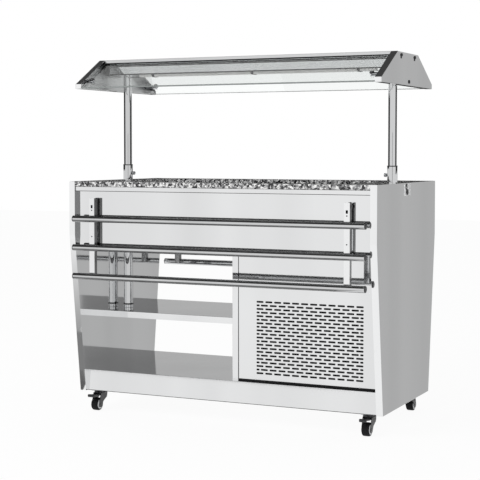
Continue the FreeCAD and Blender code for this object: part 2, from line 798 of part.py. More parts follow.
def side_fitting():
    """A rocker switch over a cable gland on a small plate at the top of the right-hand panel."""
    plate_y, plate_z, half_y, half_z = -8, 875.5, 34, 23
    face = outer_x + PLATE_GAUGE
    plate = extrusion("fitting_plate", "x", outer_x, face,
                      [rectangle(half_y, half_z, plate_y, plate_z), rectangle(6.2, 11.2, SWITCH_Y, SWITCH_Z),
                       many_sided(GLAND_Y, GLAND_Z, 7)])
    well = block("switch_well", (outer_x - 14, outer_x), (SWITCH_Y - 6.2, SWITCH_Y + 6.2),
                 (SWITCH_Z - 11.2, SWITCH_Z + 11.2))
    space = block("switch_space", (outer_x - 12, outer_x + 5), (SWITCH_Y - 5.2, SWITCH_Y + 5.2),
                  (SWITCH_Z - 10.2, SWITCH_Z + 10.2))
    rim = block("switch_rim", (outer_x, face), (SWITCH_Y - 6.2, SWITCH_Y + 6.2),
                (SWITCH_Z - 11.2, SWITCH_Z + 11.2))
    pin = prism("switch_pin", "y", (outer_x - 3, SWITCH_Y - 5.2, SWITCH_Z), 1, 10.4)
    case = cut("switch_case", fuse("switch_solid", well, rim), space)
    node("switch_plate", fuse("switch_unit", plate, case, pin))

    rocker_outline = [(outer_x - 6, SWITCH_Z - 7), (outer_x + 0.5, SWITCH_Z - 9.2),
                      (outer_x + 2, SWITCH_Z - 9), (outer_x + 1.5, SWITCH_Z),
                      (outer_x + 4.4, SWITCH_Z + 8.6),
                      (outer_x + 0.5, SWITCH_Z + 9.2), (outer_x - 6, SWITCH_Z + 7)]
    rocker = extrusion("rocker_body", "y", SWITCH_Y - 4.9, SWITCH_Y + 4.9, [rocker_outline])
    bore = prism("rocker_bore", "y", (outer_x - 3, SWITCH_Y - 6, SWITCH_Z),
                 1 + size("running_clearance"), 12)
    node("switch_rocker", cut("rocker", rocker, bore))

    corners = [(GLAND_Y + 11 * math.cos(math.radians(60 * step)),
                GLAND_Z + 11 * math.sin(math.radians(60 * step))) for step in range(6)]
    nut = extrusion("gland_nut", "x", face, face + 3, [corners])
    stem = prism("gland_stem", "x", (outer_x - 12, GLAND_Y, GLAND_Z), 6.7, 14)
    hole = prism("gland_hole", "x", (outer_x - 20, GLAND_Y, GLAND_Z), 4, 40)
    node("power_gland", cut("gland", fuse("gland_solid", nut, stem), hole))


# ---- posts and guide tubes ----------------------------------------------------------------

def guide_tube(name, side, low):
    """A fixed outer tube with a cross hole for its thumb screw."""
    wall = rod(name + "_wall", "z", (post_x * side, 0, low), guide_r, size("guide_top") - low)
    bore_r = size("post_radius") + size("post_clearance")
    bore = prism(name + "_bore", "z", (post_x * side, 0, low + 2), bore_r, size("guide_top") - low, 16)
    start = post_x - guide_r - 4 if side > 0 else -post_x
    hole = prism(name + "_screw_hole", "x", (start, 0, SCREW_Z), SCREW_RADIUS + size("running_clearance"),
                 guide_r + 4)
    return node(name, cut(name + "_drilled", wall, bore, hole))


SCREW_Z, SCREW_RADIUS = 928, 3


def thumb_screw(name, side):
    """A lobed knob on a screw that clamps the post from the inner side of its guide tube."""
    post_face = post_x - size("post_radius") - 0.35
    knob_face = post_x - guide_r - 1
    lobes = []
    for step in range(10):
        angle, reach = math.pi * step / 5, 7 if step % 2 == 0 else 5.2
        lobes.append((reach * math.cos(angle), SCREW_Z + reach * math.sin(angle)))
    knob = extrusion(name + "_knob", "x", knob_face - 12, knob_face, [lobes])
    shaft = rod(name + "_shaft", "x", (knob_face - 1, 0, SCREW_Z), SCREW_RADIUS, post_face - knob_face + 1)
    screw = fuse(name + "_solid", shaft, knob)
    return node(name, screw if side > 0 else mirrored(name + "_turned", screw, "x"))


def guide_rings():
    """Black rings: a bush on the rim of each guide tube and a collar at the foot of the left one."""
    rim_hole = size("post_radius") + 0.3
    places = ((-1, size("guide_top"), 3, rim_hole), (1, size("guide_top"), 3, rim_hole),
              (-1, shelf_top + 12, 6, guide_r))
    rings = []
    for number, (side, low, height, hole_r) in enumerate(places):
        outer = prism(f"ring_{number}", "z", (post_x * side, 0, low), guide_r + 1, height, 16)
        hole = prism(f"ring_hole_{number}", "z", (post_x * side, 0, low - 1), hole_r, height + 2, 16)
        rings.append(cut(f"ring_cut_{number}", outer, hole))
    node("guide_rings", group("ring_set", *rings))


def post(name, side):
    """The sliding inner tube; its foot stays inside the guide tube at every height."""
    low, high = size("post_bottom"), size("housing_bottom") + 24
    outer = rod(name + "_outer", "z", (post_x * side, 0, low), size("post_radius"), high - low)
    inner = prism(name + "_inner", "z", (post_x * side, 0, low - 1), size("post_radius") - 2,
                  high - low + 2)
    return node(name, cut(name + "_tube", outer, inner))


# ---- canopy -------------------------------------------------------------------------------

cap_x = size("canopy_width") / 2
cap_inner_x = cap_x - size("cap_thickness")
canopy_y = size("canopy_depth") / 2
roof_y = size("roof_depth") / 2
canopy_top = size("canopy_top")
roof_low = canopy_top - size("roof_height")
housing_y = size("housing_depth") / 2
housing_low = size("housing_bottom")


def cap_outline(inset=0):
    """The end cap: low upright edges, sloped shoulders and a flat top."""
    side, low, high = canopy_y - inset, size("cap_bottom") + inset, canopy_top - inset
    knee, shoulder = size("cap_knee") - inset * 0.5, roof_y - inset * 0.5
    return [(-side, low), (side, low), (side, knee), (shoulder, high), (-shoulder, high), (-side, knee)]


def canopy_cap(name, side):
    """A folded pan that closes one end of the canopy, open towards the middle."""
    faces = sorted((cap_inner_x * side, cap_x * side), key=lambda dim: dim.value)
    body = extrusion(name, "x", faces[0], faces[1], [cap_outline()])
    hollow = sorted((cap_inner_x * side, (cap_x - sheet) * side), key=lambda dim: dim.value)
    pocket(body, "x", hollow[0], hollow[1], [cap_outline(sheet)])
    fold_edges(body, lambda edge, mid: near(mid.x, cap_x * side) and edge.Length > 15)
    return node(name, body)


def canopy_top_cover():
    """The shallow roof channel between the caps."""
    outline = [(-roof_y, roof_low), (sheet - roof_y, roof_low), (sheet - roof_y, canopy_top - sheet),
               (roof_y - sheet, canopy_top - sheet), (roof_y - sheet, roof_low), (roof_y, roof_low),
               (roof_y, canopy_top), (-roof_y, canopy_top)]
    body = extrusion("roof", "x", -cap_inner_x, cap_inner_x, [outline])
    fold_edges(body, lambda edge, mid: near(abs(mid.y), roof_y) and near(mid.z, canopy_top))
    node("canopy_top_cover", body)


def lamp_housing():
    """The polished box that carries the lamp, stepped in above its seam."""
    low, seam, high = housing_low, size("housing_seam"), canopy_top - sheet
    step = 3
    wide, narrow = housing_y, housing_y - step
    outline = [(-wide, low), (wide, low), (wide, seam), (narrow, seam), (narrow, high),
               (-narrow, high), (-narrow, seam), (-wide, seam)]
    hollow = [(sheet - wide, low + sheet), (wide - sheet, low + sheet), (wide - sheet, seam - sheet),
              (narrow - sheet, seam - sheet), (narrow - sheet, high - sheet), (sheet - narrow, high - sheet),
              (sheet - narrow, seam - sheet), (sheet - wide, seam - sheet)]
    body = extrusion("housing", "x", -cap_inner_x, cap_inner_x, [outline, hollow])
    post_r = size("post_radius")
    pocket(body, "z", low, low + sheet, [many_sided(spot, 0, post_r) for spot in (post_x, -post_x)])
    fold_edges(body, lambda edge, mid: near(abs(mid.y), wide) and near(mid.z, low))
    node("lamp_housing", body)


LAMP_HALF_LENGTH, LAMP_HALF_DEPTH, LAMP_DROP = 500, 16, 6
CLIP_SPACING, CLIP_HALF_WIDTH, CLIP_GAUGE = 436, 4, 1.5


def lamp():
    """A flat light bar under the housing, held by three dark spring clips."""
    low = housing_low - LAMP_DROP
    bar = extrusion("bar", "x", -LAMP_HALF_LENGTH, LAMP_HALF_LENGTH,
                    [[(3 - LAMP_HALF_DEPTH, low), (LAMP_HALF_DEPTH - 3, low),
                      (LAMP_HALF_DEPTH, low + 3), (LAMP_HALF_DEPTH, housing_low),
                      (-LAMP_HALF_DEPTH, housing_low), (-LAMP_HALF_DEPTH, low + 3)]])
    node("lamp_bar", bar)
    clips = []
    for number, place_x in enumerate((-CLIP_SPACING, 0, CLIP_SPACING)):
        outer = LAMP_HALF_DEPTH + CLIP_GAUGE
        arms = [[(-outer, low - CLIP_GAUGE), (outer, low - CLIP_GAUGE), (outer, housing_low - CLIP_GAUGE),
                 (outer + 10, housing_low - CLIP_GAUGE), (outer + 10, housing_low),
                 (LAMP_HALF_DEPTH, housing_low), (LAMP_HALF_DEPTH, low), (-LAMP_HALF_DEPTH, low),
                 (-LAMP_HALF_DEPTH, housing_low), (-outer - 10, housing_low),
                 (-outer - 10, housing_low - CLIP_GAUGE), (-outer, housing_low - CLIP_GAUGE)]]
        clips.append(extrusion(f"clip_{number}", "x", place_x - CLIP_HALF_WIDTH, place_x + CLIP_HALF_WIDTH,
                               arms))
    node("lamp_clips", group("clip_set", *clips))


GLASS_TUCK = 10
JAW_INNER_X, JAW_ALONG, JAW_WIDTH, JAW_GAUGE = 567, 46, 12, 4


def pane_frame():
    """The lower front edge of the pane, tilted so that its local z is the pane's outward normal."""
    rise = (canopy_top - size("cap_knee")).value
    tilt = math.atan(rise / (canopy_y - roof_y).value)
    corner = FreeCAD.Vector(0, -canopy_y.value, (size("cap_knee") - size("glass_drop")).value)
    return FreeCAD.Placement(corner, FreeCAD.Rotation(FreeCAD.Vector(1, 0, 0), math.degrees(tilt)))


def slab_on_pane(name, x, along, up):
    """A block given in the pane's own frame; x, along and up are (low, high) pairs."""
    piece = doc.addObject("Part::Box", name)
    piece.Length, piece.Width, piece.Height = (pair[1] - pair[0] for pair in (x, along, up))
    spot = FreeCAD.Vector(x[0], along[0], up[0])
    piece.Placement = pane_frame().multiply(FreeCAD.Placement(spot, FreeCAD.Rotation()))
    return piece


def glazing():
    """Two panes below the caps' shoulders, tucked in under the roof and gripped near each low corner."""
    thick, half = size("glass_thickness").value, cap_inner_x.value - 1
    run = (canopy_y - roof_y).value + GLASS_TUCK
    length = run / abs(pane_frame().Rotation.multVec(FreeCAD.Vector(0, 1, 0)).y)
    pane = slab_on_pane("pane", (-half, half), (0, length), (-thick, 0))
    node("front_glass", pane)
    node("rear_glass", mirrored("pane_rear", pane, "y"))
    low, high = JAW_ALONG, JAW_ALONG + JAW_WIDTH
    reach = (cap_x - sheet).value
    jaws = [slab_on_pane("jaw_upper", (JAW_INNER_X, reach), (low, high), (0, JAW_GAUGE)),
            slab_on_pane("jaw_lower", (JAW_INNER_X, reach), (low, high), (-thick - JAW_GAUGE, -thick)),
            slab_on_pane("jaw_heel", (half + 0.5, reach), (low, high), (-thick, 0)),
            slab_on_pane("jaw_knob", (JAW_INNER_X - 1, JAW_INNER_X + 13), (low - 1, high + 1), (0, 9))]
    clamp = fuse("clamp", *jaws)
    four_corners("glass_clamps", clamp)


# ---- tray slides --------------------------------------------------------------------------

arm_x = size("arm_spacing") / 2
arm_face = size("arm_face_depth") / 2
tube_y = size("tray_tube_depth") / 2
pivot_y = size("pivot_depth") / 2
pivot_z = size("pivot_height")
pivot_r = size("pivot_radius")


def tube_height(step):
    return size("tray_tube_top") - size("tray_tube_pitch") * step


def tray_tubes():
    """Three thin-walled round tubes with closed ends; they seat in saddles of the arms."""
    tubes = []
    half, radius = size("tray_tube_length") / 2, size("tray_tube_radius")
    for step in range(3):
        outer = rod(f"tray_tube_{step}", "x", (-half, -tube_y, tube_height(step)), radius, half * 2)
        inner = prism(f"tray_bore_{step}", "x", (3 - half, -tube_y, tube_height(step)),
                      radius - 2, half * 2 - 6)
        tubes.append(cut(f"tray_tube_hollow_{step}", outer, inner))
    node("front_tray_tubes", group("tray_tubes", *tubes))
    node("rear_tray_tubes", mirrored("tray_tubes_rear", doc.getObject("tray_tubes"), "y"))


def tray_arm():
    """One hinged arm: a channel open to the back with a slot, screw holes and tube saddles."""
    half, gauge = size("arm_width") / 2, size("arm_sheet")
    back = arm_face - size("arm_flange")
    low, high = size("arm_bottom"), size("arm_top")
    left, right = arm_x - half, arm_x + half
    body = extrusion("arm", "z", low, high,
                     [[(left, -arm_face), (right, -arm_face), (right, -back), (right - gauge, -back),
                       (right - gauge, gauge - arm_face), (left + gauge, gauge - arm_face),
                       (left + gauge, -back), (left, -back)]])
    corner = [(-back - 7, high + 1), (1 - back, high + 1), (1 - back, high - 7)]
    pocket(body, "x", left, right, [corner])
    pocket(body, "y", -arm_face, gauge - arm_face, [rectangle(4, 6, arm_x, 805)])
    pocket(body, "x", left, right, [many_sided(-pivot_y, pivot_z, pivot_r + size("running_clearance"))])
    saddles = [prism(f"saddle_{step}", "x", (left - 1, -tube_y, tube_height(step)),
                     size("tray_tube_radius"), size("arm_width") + 2) for step in range(3)]
    return cut("arm_saddled", body, *saddles)


def tray_arms():
    right = tray_arm()
    left = mirrored("arm_left", right, "x")
    node("front_tray_arms", group("arms_front", left, right))
    node("rear_tray_arms", mirrored("arms_rear", doc.getObject("arms_front"), "y"))


def tray_bracket():
    """The wall bracket inside an arm: a base on the fascia and two ears round the pivot."""
    half, gauge, base = 7.5, 2, 2
    low, high = 742, 834
    wall = -fascia_y
    plate = block("bracket_base", (arm_x - half, arm_x + half), (wall - base, wall), (low, high))
    ears = []
    outline = [(wall - base, low), (wall - 6, low), (-pivot_y - 11, pivot_z - 6),
               (-pivot_y - 11, pivot_z + 4), (-pivot_y - 5, pivot_z + 10), (wall - base, pivot_z + 10)]
    for side, start in ((-1, arm_x - half), (1, arm_x + half - gauge)):
        ears.append(extrusion(f"bracket_ear_{side + 1}", "x", start, start + gauge, [outline]))
    hole = prism("bracket_hole", "x", (arm_x - 20, -pivot_y, pivot_z), pivot_r, 40, 8)
    return cut("bracket", fuse("bracket_solid", plate, *ears), hole)


def pivot_pin():
    """A pin through both ears and both flanges of the arm, with a square head on the outer side."""
    reach, head = size("arm_width") / 2 + 0.4, 5
    shaft = rod("pin_shaft", "x", (arm_x - reach, -pivot_y, pivot_z), pivot_r, reach * 2)
    cap = block("pin_head", (arm_x + reach, arm_x + reach + 2), (-pivot_y - head, -pivot_y + head),
                (pivot_z - head, pivot_z + head))
    return fuse("pin", shaft, cap)


def four_corners(name, piece):
    """The piece with its mirror images left and right, front and rear."""
    left = mirrored(piece.Name + "_left", piece, "x")
    rear = [mirrored(item.Name + "_rear", item, "y") for item in (piece, left)]
    return node(name, group(name + "_set", piece, left, *rear))


# ---- casters ------------------------------------------------------------------------------

caster_x = size("caster_spacing_x") / 2
caster_y = size("caster_spacing_y") / 2
axle_y = caster_y + size("caster_offset")
wheel_r = size("wheel_radius")
KING_PIN_RADIUS = 5
PLATE_LOW = 75.5
HEAD_HIGH, HEAD_LOW = 75, 64
PEDAL_Y, PEDAL_Z, PEDAL_PIN_RADIUS = 254, 60, 1.5


def caster_plate():
    """A mounting plate with its riveted king pin."""
    plate = block("plate", (caster_x - 26, caster_x + 26), (-caster_y - 24, -caster_y + 22),
                  (PLATE_LOW, underside))
    low = HEAD_LOW - 6
    pin = rod("king_pin", "z", (caster_x, -caster_y, low), KING_PIN_RADIUS, PLATE_LOW - low)
    return fuse("plate_pinned", plate, pin)


def caster_fork(name, braked):
    """The swivel head and its two legs, with the riveted axle; the wheel trails outboard."""
    wide, narrow = 24, 14
    corners = [(caster_x + x, y - caster_y) for x, y in
               ((wide, -narrow), (wide, narrow), (narrow, wide), (-narrow, wide),
                (-wide, narrow), (-wide, -narrow), (-narrow, -wide), (narrow, -wide))]
    head = extrusion(name + "_head", "z", HEAD_LOW, HEAD_HIGH, [corners])
    half = size("wheel_width") / 2
    inner, gauge = half + 1.5, 2.5
    outline = [(-caster_y + 23, HEAD_LOW + 4), (-caster_y - 22, HEAD_LOW + 4), (-axle_y - 11, 34),
               (-axle_y - 11, 20), (-axle_y - 4, 13), (-axle_y + 5, 13), (-axle_y + 12, 20),
               (-caster_y + 23, 46)]
    legs = [extrusion(f"{name}_leg_{int(start.value)}", "x", start, start + gauge, [outline])
            for start in (caster_x + inner, caster_x - inner - gauge)]
    bridge = block(name + "_bridge", (caster_x - inner - 1, caster_x + inner + 1),
                   (-caster_y - 14, -caster_y + 20), (HEAD_LOW - 4, HEAD_LOW + 2))
    span = inner + gauge
    pins = [rod(name + "_axle", "x", (caster_x - span, -axle_y, wheel_r), size("axle_radius"), span * 2)]
    if braked:
        pins.append(prism(name + "_pedal_pin", "x", (caster_x - span, -PEDAL_Y, PEDAL_Z),
                          PEDAL_PIN_RADIUS, span * 2))
    pin_hole = prism(name + "_king_hole", "z", (caster_x, -caster_y, HEAD_LOW - 10),
                     KING_PIN_RADIUS + size("running_clearance"), 30)
    return cut(name, fuse(name + "_solid", head, *legs, bridge, *pins), pin_hole)


def caster_wheel():
    """A forty-sided tread with a bored hub."""
    half = size("wheel_width") / 2
    start = (caster_x - half, -axle_y, wheel_r)
    tread = prism("wheel_tread", "x", start, wheel_r, half * 2, 40)
    bore = prism("wheel_bore", "x", (caster_x - half - 1, -axle_y, wheel_r),
                 size("axle_radius") + size("running_clearance"), half * 2 + 2)
    return cut("wheel_body", tread, bore)


def brake_pedal():
    """A pressed pedal hinged on the fork, pointing outboard over the wheel."""
    half = 14
    outline = [(-PEDAL_Y + 4, PEDAL_Z - 2.2), (-PEDAL_Y + 4, PEDAL_Z + 2.2), (-PEDAL_Y - 20, PEDAL_Z + 4),
               (-PEDAL_Y - 48, PEDAL_Z + 9), (-PEDAL_Y - 52, PEDAL_Z + 6), (-PEDAL_Y - 50, PEDAL_Z - 2),
               (-PEDAL_Y - 46, PEDAL_Z - 2), (-PEDAL_Y - 47, PEDAL_Z + 4), (-PEDAL_Y - 20, PEDAL_Z - 1)]
    lever = extrusion("pedal", "x", caster_x - half, caster_x + half, [outline])
    bore = prism("pedal_bore", "x", (caster_x - half - 1, -PEDAL_Y, PEDAL_Z),
                 PEDAL_PIN_RADIUS + size("running_clearance"), 2 * half + 2)
    return cut("pedal_drilled", lever, bore)


def casters():
    four_corners("caster_plates", caster_plate())
    for label, piece in (("fork", caster_fork("fork_braked", True)), ("brake_pedal", brake_pedal())):
        node("front_right_" + label, piece)
        node("front_left_" + label, mirrored(label + "_front_left", piece, "x"))
    fork = mirrored("fork_rear_right", caster_fork("fork_free", False), "y")
    node("rear_right_fork", fork)
    node("rear_left_fork", mirrored("fork_rear_left", fork, "x"))
    wheel = caster_wheel()
    wheel_left = mirrored("wheel_front_left", wheel, "x")
    node("front_right_wheel", wheel)
    node("front_left_wheel", wheel_left)
    node("rear_right_wheel", mirrored("wheel_rear_right", wheel, "y"))
    node("rear_left_wheel", mirrored("wheel_rear_left", wheel_left, "y"))


# ---- assembly -----------------------------------------------------------------------------

side_panel("left_side_panel", -1)
side_panel("right_side_panel", 1)
side_liners()
fascias()
well_box_floor()
worktop()
worktop_frame()
cold_well()
well_insulation()
cooling_coil()
deck()
plinths()
caster_channels()
mid_shelf()
divider_panel()
vent_panels()
compressor()
condenser()
fan()
refrigerant_lines()
side_fitting()
guide_tube("left_guide_tube", -1, shelf_top)
guide_tube("right_guide_tube", 1, deck_top)
guide_rings()
thumb_screw("left_thumb_screw", -1)
thumb_screw("right_thumb_screw", 1)
post("left_post", -1)
post("right_post", 1)
canopy_cap("left_canopy_cap", -1)
canopy_cap("right_canopy_cap", 1)
canopy_top_cover()
lamp_housing()
lamp()
glazing()
tray_tubes()
tray_arms()
four_corners("tray_brackets", tray_bracket())
four_corners("tray_pivot_pins", pivot_pin())
casters()
doc.recompute()

failed = [item.Label for item in doc.Objects if {"Invalid", "Error"} & set(item.State)]
if failed:
    raise RuntimeError(f"objects that did not build: {failed}")

os.makedirs("parts", exist_ok=True)
for piece in nodes:
    if piece.Shape.isNull() or not piece.Shape.isValid() or piece.Shape.Volume <= 0:
        raise RuntimeError(f"{piece.Label} has no valid shape")
    piece.Shape.exportStep(f"parts/{piece.Label}.step")
print(f"{len(nodes)} pieces written")
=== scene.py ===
import math

import bmesh
import bpy
from mathutils import Matrix, Vector


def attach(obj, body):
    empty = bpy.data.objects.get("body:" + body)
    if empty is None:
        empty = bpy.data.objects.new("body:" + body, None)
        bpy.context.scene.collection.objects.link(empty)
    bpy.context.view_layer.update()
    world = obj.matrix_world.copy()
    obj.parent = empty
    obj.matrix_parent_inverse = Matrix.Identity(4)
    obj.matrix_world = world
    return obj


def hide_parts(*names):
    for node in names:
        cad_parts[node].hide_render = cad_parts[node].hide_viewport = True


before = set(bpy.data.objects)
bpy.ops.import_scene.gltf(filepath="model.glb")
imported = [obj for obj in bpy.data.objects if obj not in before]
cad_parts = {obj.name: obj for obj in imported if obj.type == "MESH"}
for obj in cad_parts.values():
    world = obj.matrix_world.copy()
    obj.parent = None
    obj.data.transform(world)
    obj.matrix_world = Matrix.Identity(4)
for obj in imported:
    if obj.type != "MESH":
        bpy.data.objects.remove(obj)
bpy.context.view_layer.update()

# ---- Studio ---------------------------------------------------------------------------
# A white sweep with one broad soft lamp. Mirror-bright steel needs something to mirror, so
# grey and black flags stand round it, lie on the floor and hang over it, for reflections only.


def finish_named(name, base=(0.8, 0.8, 0.8), metallic=0.0, roughness=0.5):
    """A new material with one Principled shader, its plain values set on the shader's sockets."""
    material = bpy.data.materials.new(name)
    material.use_nodes = True
    shader = material.node_tree.nodes["Principled BSDF"]
    shader.inputs["Base Color"].default_value = (*base, 1)
    shader.inputs["Metallic"].default_value = metallic
    shader.inputs["Roughness"].default_value = roughness
    return material, material.node_tree.nodes, material.node_tree.links, shader


def object_from(name, bm, *materials, crease=0.6):
    """Turns a finished bmesh into an object, smooth except at creases and round broad flats."""
    for face in bm.faces:
        face.smooth = True
    for edge in bm.edges:
        areas = sorted(face.calc_area() for face in edge.link_faces)
        edge.smooth = edge.calc_face_angle(0) < crease and areas[-1] < areas[0] * 15
    mesh = bpy.data.meshes.new(name)
    bm.to_mesh(mesh)
    bm.free()
    made = bpy.data.objects.new(name, mesh)
    bpy.context.scene.collection.objects.link(made)
    for material in materials:
        mesh.materials.append(material)
    return made


def shows_backdrop(nodes, links):
    """One for rays that see the white backdrop: from the camera, off a mirror or through glass."""
    rays = nodes.new("ShaderNodeLightPath")
    seen = rays.outputs["Is Camera Ray"]
    for kind in ("Is Glossy Ray", "Is Transmission Ray"):
        either = nodes.new("ShaderNodeMath")
        either.operation = "MAXIMUM"
        links.new(seen, either.inputs[0])
        links.new(rays.outputs[kind], either.inputs[1])
        seen = either.outputs[0]
    return seen


GRADE_START, GRADE_END = -0.47, -2.35


def flag(name, near_grey, far_grey, *corners):
    """A flat studio flag that only reflections see, graded towards the front."""
    bm = bmesh.new()
    bm.faces.new([bm.verts.new(corner) for corner in corners])
    paint = bpy.data.materials.new(name + "_paint")
    paint.use_nodes = True
    nodes, links = paint.node_tree.nodes, paint.node_tree.links
    nodes.remove(nodes["Principled BSDF"])
    place = nodes.new("ShaderNodeTexCoord")
    along = nodes.new("ShaderNodeSeparateXYZ")
    grade = nodes.new("ShaderNodeMapRange")
    grade.inputs["From Min"].default_value = GRADE_START
    grade.inputs["From Max"].default_value = GRADE_END
    grade.inputs["To Min"].default_value = near_grey
    grade.inputs["To Max"].default_value = far_grey
    glow = nodes.new("ShaderNodeEmission")
    links.new(place.outputs["Object"], along.inputs["Vector"])
    links.new(along.outputs["Y"], grade.inputs["Value"])
    links.new(grade.outputs["Result"], glow.inputs["Strength"])
    links.new(glow.outputs["Emission"], nodes["Material Output"].inputs["Surface"])
    made = object_from(name, bm, paint)
    for ray in ("camera", "diffuse", "transmission", "volume_scatter", "shadow"):
        setattr(made, "visible_" + ray, False)


FILL_LIGHT, FLOOR_REACH, FLOOR_GREY, FLOOR_WHITENESS = 0.75, 14, 0.86, 0.93
world = bpy.data.worlds.new("studio")
bpy.context.scene.world = world
world.use_nodes = True
nodes, links = world.node_tree.nodes, world.node_tree.links
fill = nodes["Background"]
fill.inputs["Color"].default_value = (1, 1, 1, 1)
fill.inputs["Strength"].default_value = FILL_LIGHT
backdrop = nodes.new("ShaderNodeBackground")
backdrop.inputs["Color"].default_value = (1, 1, 1, 1)
choose = nodes.new("ShaderNodeMixShader")
links.new(shows_backdrop(nodes, links), choose.inputs["Fac"])
links.new(fill.outputs[0], choose.inputs[1])
links.new(backdrop.outputs[0], choose.inputs[2])
links.new(choose.outputs[0], nodes["World Output"].inputs["Surface"])

bm = bmesh.new()
bmesh.ops.create_grid(bm, x_segments=1, y_segments=1, size=FLOOR_REACH)
floor_paint, nodes, links, shader = finish_named("floor_paint", (FLOOR_GREY,) * 3, 0, 0.9)
shader.inputs["Specular IOR Level"].default_value = 0
seen = nodes.new("ShaderNodeMath")
seen.operation = "MULTIPLY"
seen.inputs[1].default_value = FLOOR_WHITENESS
links.new(shows_backdrop(nodes, links), seen.inputs[0])
white = nodes.new("ShaderNodeEmission")
white.inputs["Color"].default_value = (1, 1, 1, 1)
choose = nodes.new("ShaderNodeMixShader")
links.new(seen.outputs[0], choose.inputs["Fac"])
links.new(shader.outputs[0], choose.inputs[1])
links.new(white.outputs[0], choose.inputs[2])
links.new(choose.outputs[0], nodes["Material Output"].inputs["Surface"])
object_from("floor", bm, floor_paint)

FLAG_BLACK, FLAG_GREY, BAY_GREY = 0.03, 0.47, 0.22
FRONT_GREY, CAMERA_GREY, CEILING_GREY = 0.23, 0.3, 0.055
REAR_Y, LEFT_X, RIGHT_X = 2.2, -3, 2.2
FLAG_FOOT, FLAG_TOP, FLOOR_LIFT, CEILING_HIGH = 0.9, 1.8, 0.006, 3.6


def standing_flag(name, grey, start, end, low=FLAG_FOOT, high=FLAG_TOP):
    """An even grey flag that stands on edge between two points of the floor plan."""
    flag(name, grey, grey, (*start, low), (*end, low), (*end, high), (*start, high))


def lying_flag(name, near_grey, far_grey, height, *outline):
    """A flag laid level at a height, its outline given in plan."""
    flag(name, near_grey, far_grey, *((x, y, height) for x, y in outline))


lying_flag("ceiling_flag", CEILING_GREY, CEILING_GREY, CEILING_HIGH, (-5, -7), (4, -7), (4, 2.6),
           (-5, 2.6))
flag("front_floor_flag", FRONT_GREY, FRONT_GREY, (-1.1, -1.0, 0.014), (0.34, -1.0, 0.014),
     (0.34, -0.30, 0.1508), (-1.1, -0.30, 0.1508))
lying_flag("left_floor_flag", 0.12, 0.98, FLOOR_LIFT, (-0.69, -0.36), (-3.2, -0.36),
           (-3.2, GRADE_END), (-1.6, GRADE_END), (-1.1, -1.3), (-1.107, -1.066),
           (-1.028, -0.941), (-0.892, -0.727), (-0.835, -0.636), (-0.737, -0.485))
lying_flag("rear_floor_flag", FLAG_GREY, FLAG_GREY, FLOOR_LIFT, (0.64, -0.35), (0.72, -0.35),
           (1.65, REAR_Y), (-0.6, REAR_Y), (-0.6, 0.4), (0.64, 0.4))
standing_flag("rear_low_flag", FLAG_GREY, (-3.5, REAR_Y), (1.65, REAR_Y), 0, FLAG_FOOT)
standing_flag("rear_bay_flag", BAY_GREY, (0.2, 2.19), (0.95, 2.19), 0.45, FLAG_FOOT)
standing_flag("rear_high_flag", FLAG_BLACK, (-4, REAR_Y), (0.4, REAR_Y))
standing_flag("rear_side_flag", FLAG_GREY, (0.4, REAR_Y), (1.6, REAR_Y))
standing_flag("right_flag", FLAG_BLACK, (RIGHT_X, 0.2), (RIGHT_X, REAR_Y))
standing_flag("right_corner_flag", FLAG_BLACK, (1.6, REAR_Y), (RIGHT_X, REAR_Y))
standing_flag("left_flag", FLAG_BLACK, (LEFT_X, -2.2), (LEFT_X, REAR_Y))
standing_flag("camera_flag", CAMERA_GREY, (1.70, -4.65), (2.40, -4.25), 0.3, 1.15)

LAMP_SIZE, LAMP_WATTS, LAMP_SPOT, LAMP_AIM = (4.0, 2.5), 110, (-2.4, -3.6, 3.2), (0, 0, 0.6)
lamp_data = bpy.data.lights.new("soft_lamp", "AREA")
lamp_data.shape = "RECTANGLE"
lamp_data.size, lamp_data.size_y = LAMP_SIZE
lamp_data.energy = LAMP_WATTS
lamp = bpy.data.objects.new("soft_lamp", lamp_data)
lamp.location = LAMP_SPOT
lamp.rotation_euler = (Vector(LAMP_AIM) - lamp.location).to_track_quat("-Z", "Y").to_euler()
lamp.visible_glossy = False
bpy.context.scene.collection.objects.link(lamp)

LENS, FRAME_SHIFT, CAMERA_SPOT = 98.169, -0.06, (2.1028, -4.6515, 1.0200)
CAMERA_DIP, CAMERA_TURN, CAMERA_REACH = 0.04649, 0.43531, 60
camera_data = bpy.data.cameras.new("camera")
camera_data.lens = LENS
camera_data.shift_y = FRAME_SHIFT
camera_data.clip_end = CAMERA_REACH
camera = bpy.data.objects.new("camera", camera_data)
camera.location = CAMERA_SPOT
camera.rotation_euler = (math.pi / 2 - CAMERA_DIP, 0, CAMERA_TURN)
bpy.context.scene.collection.objects.link(camera)
bpy.context.scene.camera = camera
bpy.context.scene.view_settings.view_transform = "Standard"

# ---- Folded steel cabinet --------------------------------------------------------------
# Side panels, fascias, plinths and partition are mirror-bright stainless sheet, folded and
# spot welded. The sheet is never quite flat, and its polish runs in faint upright bands.


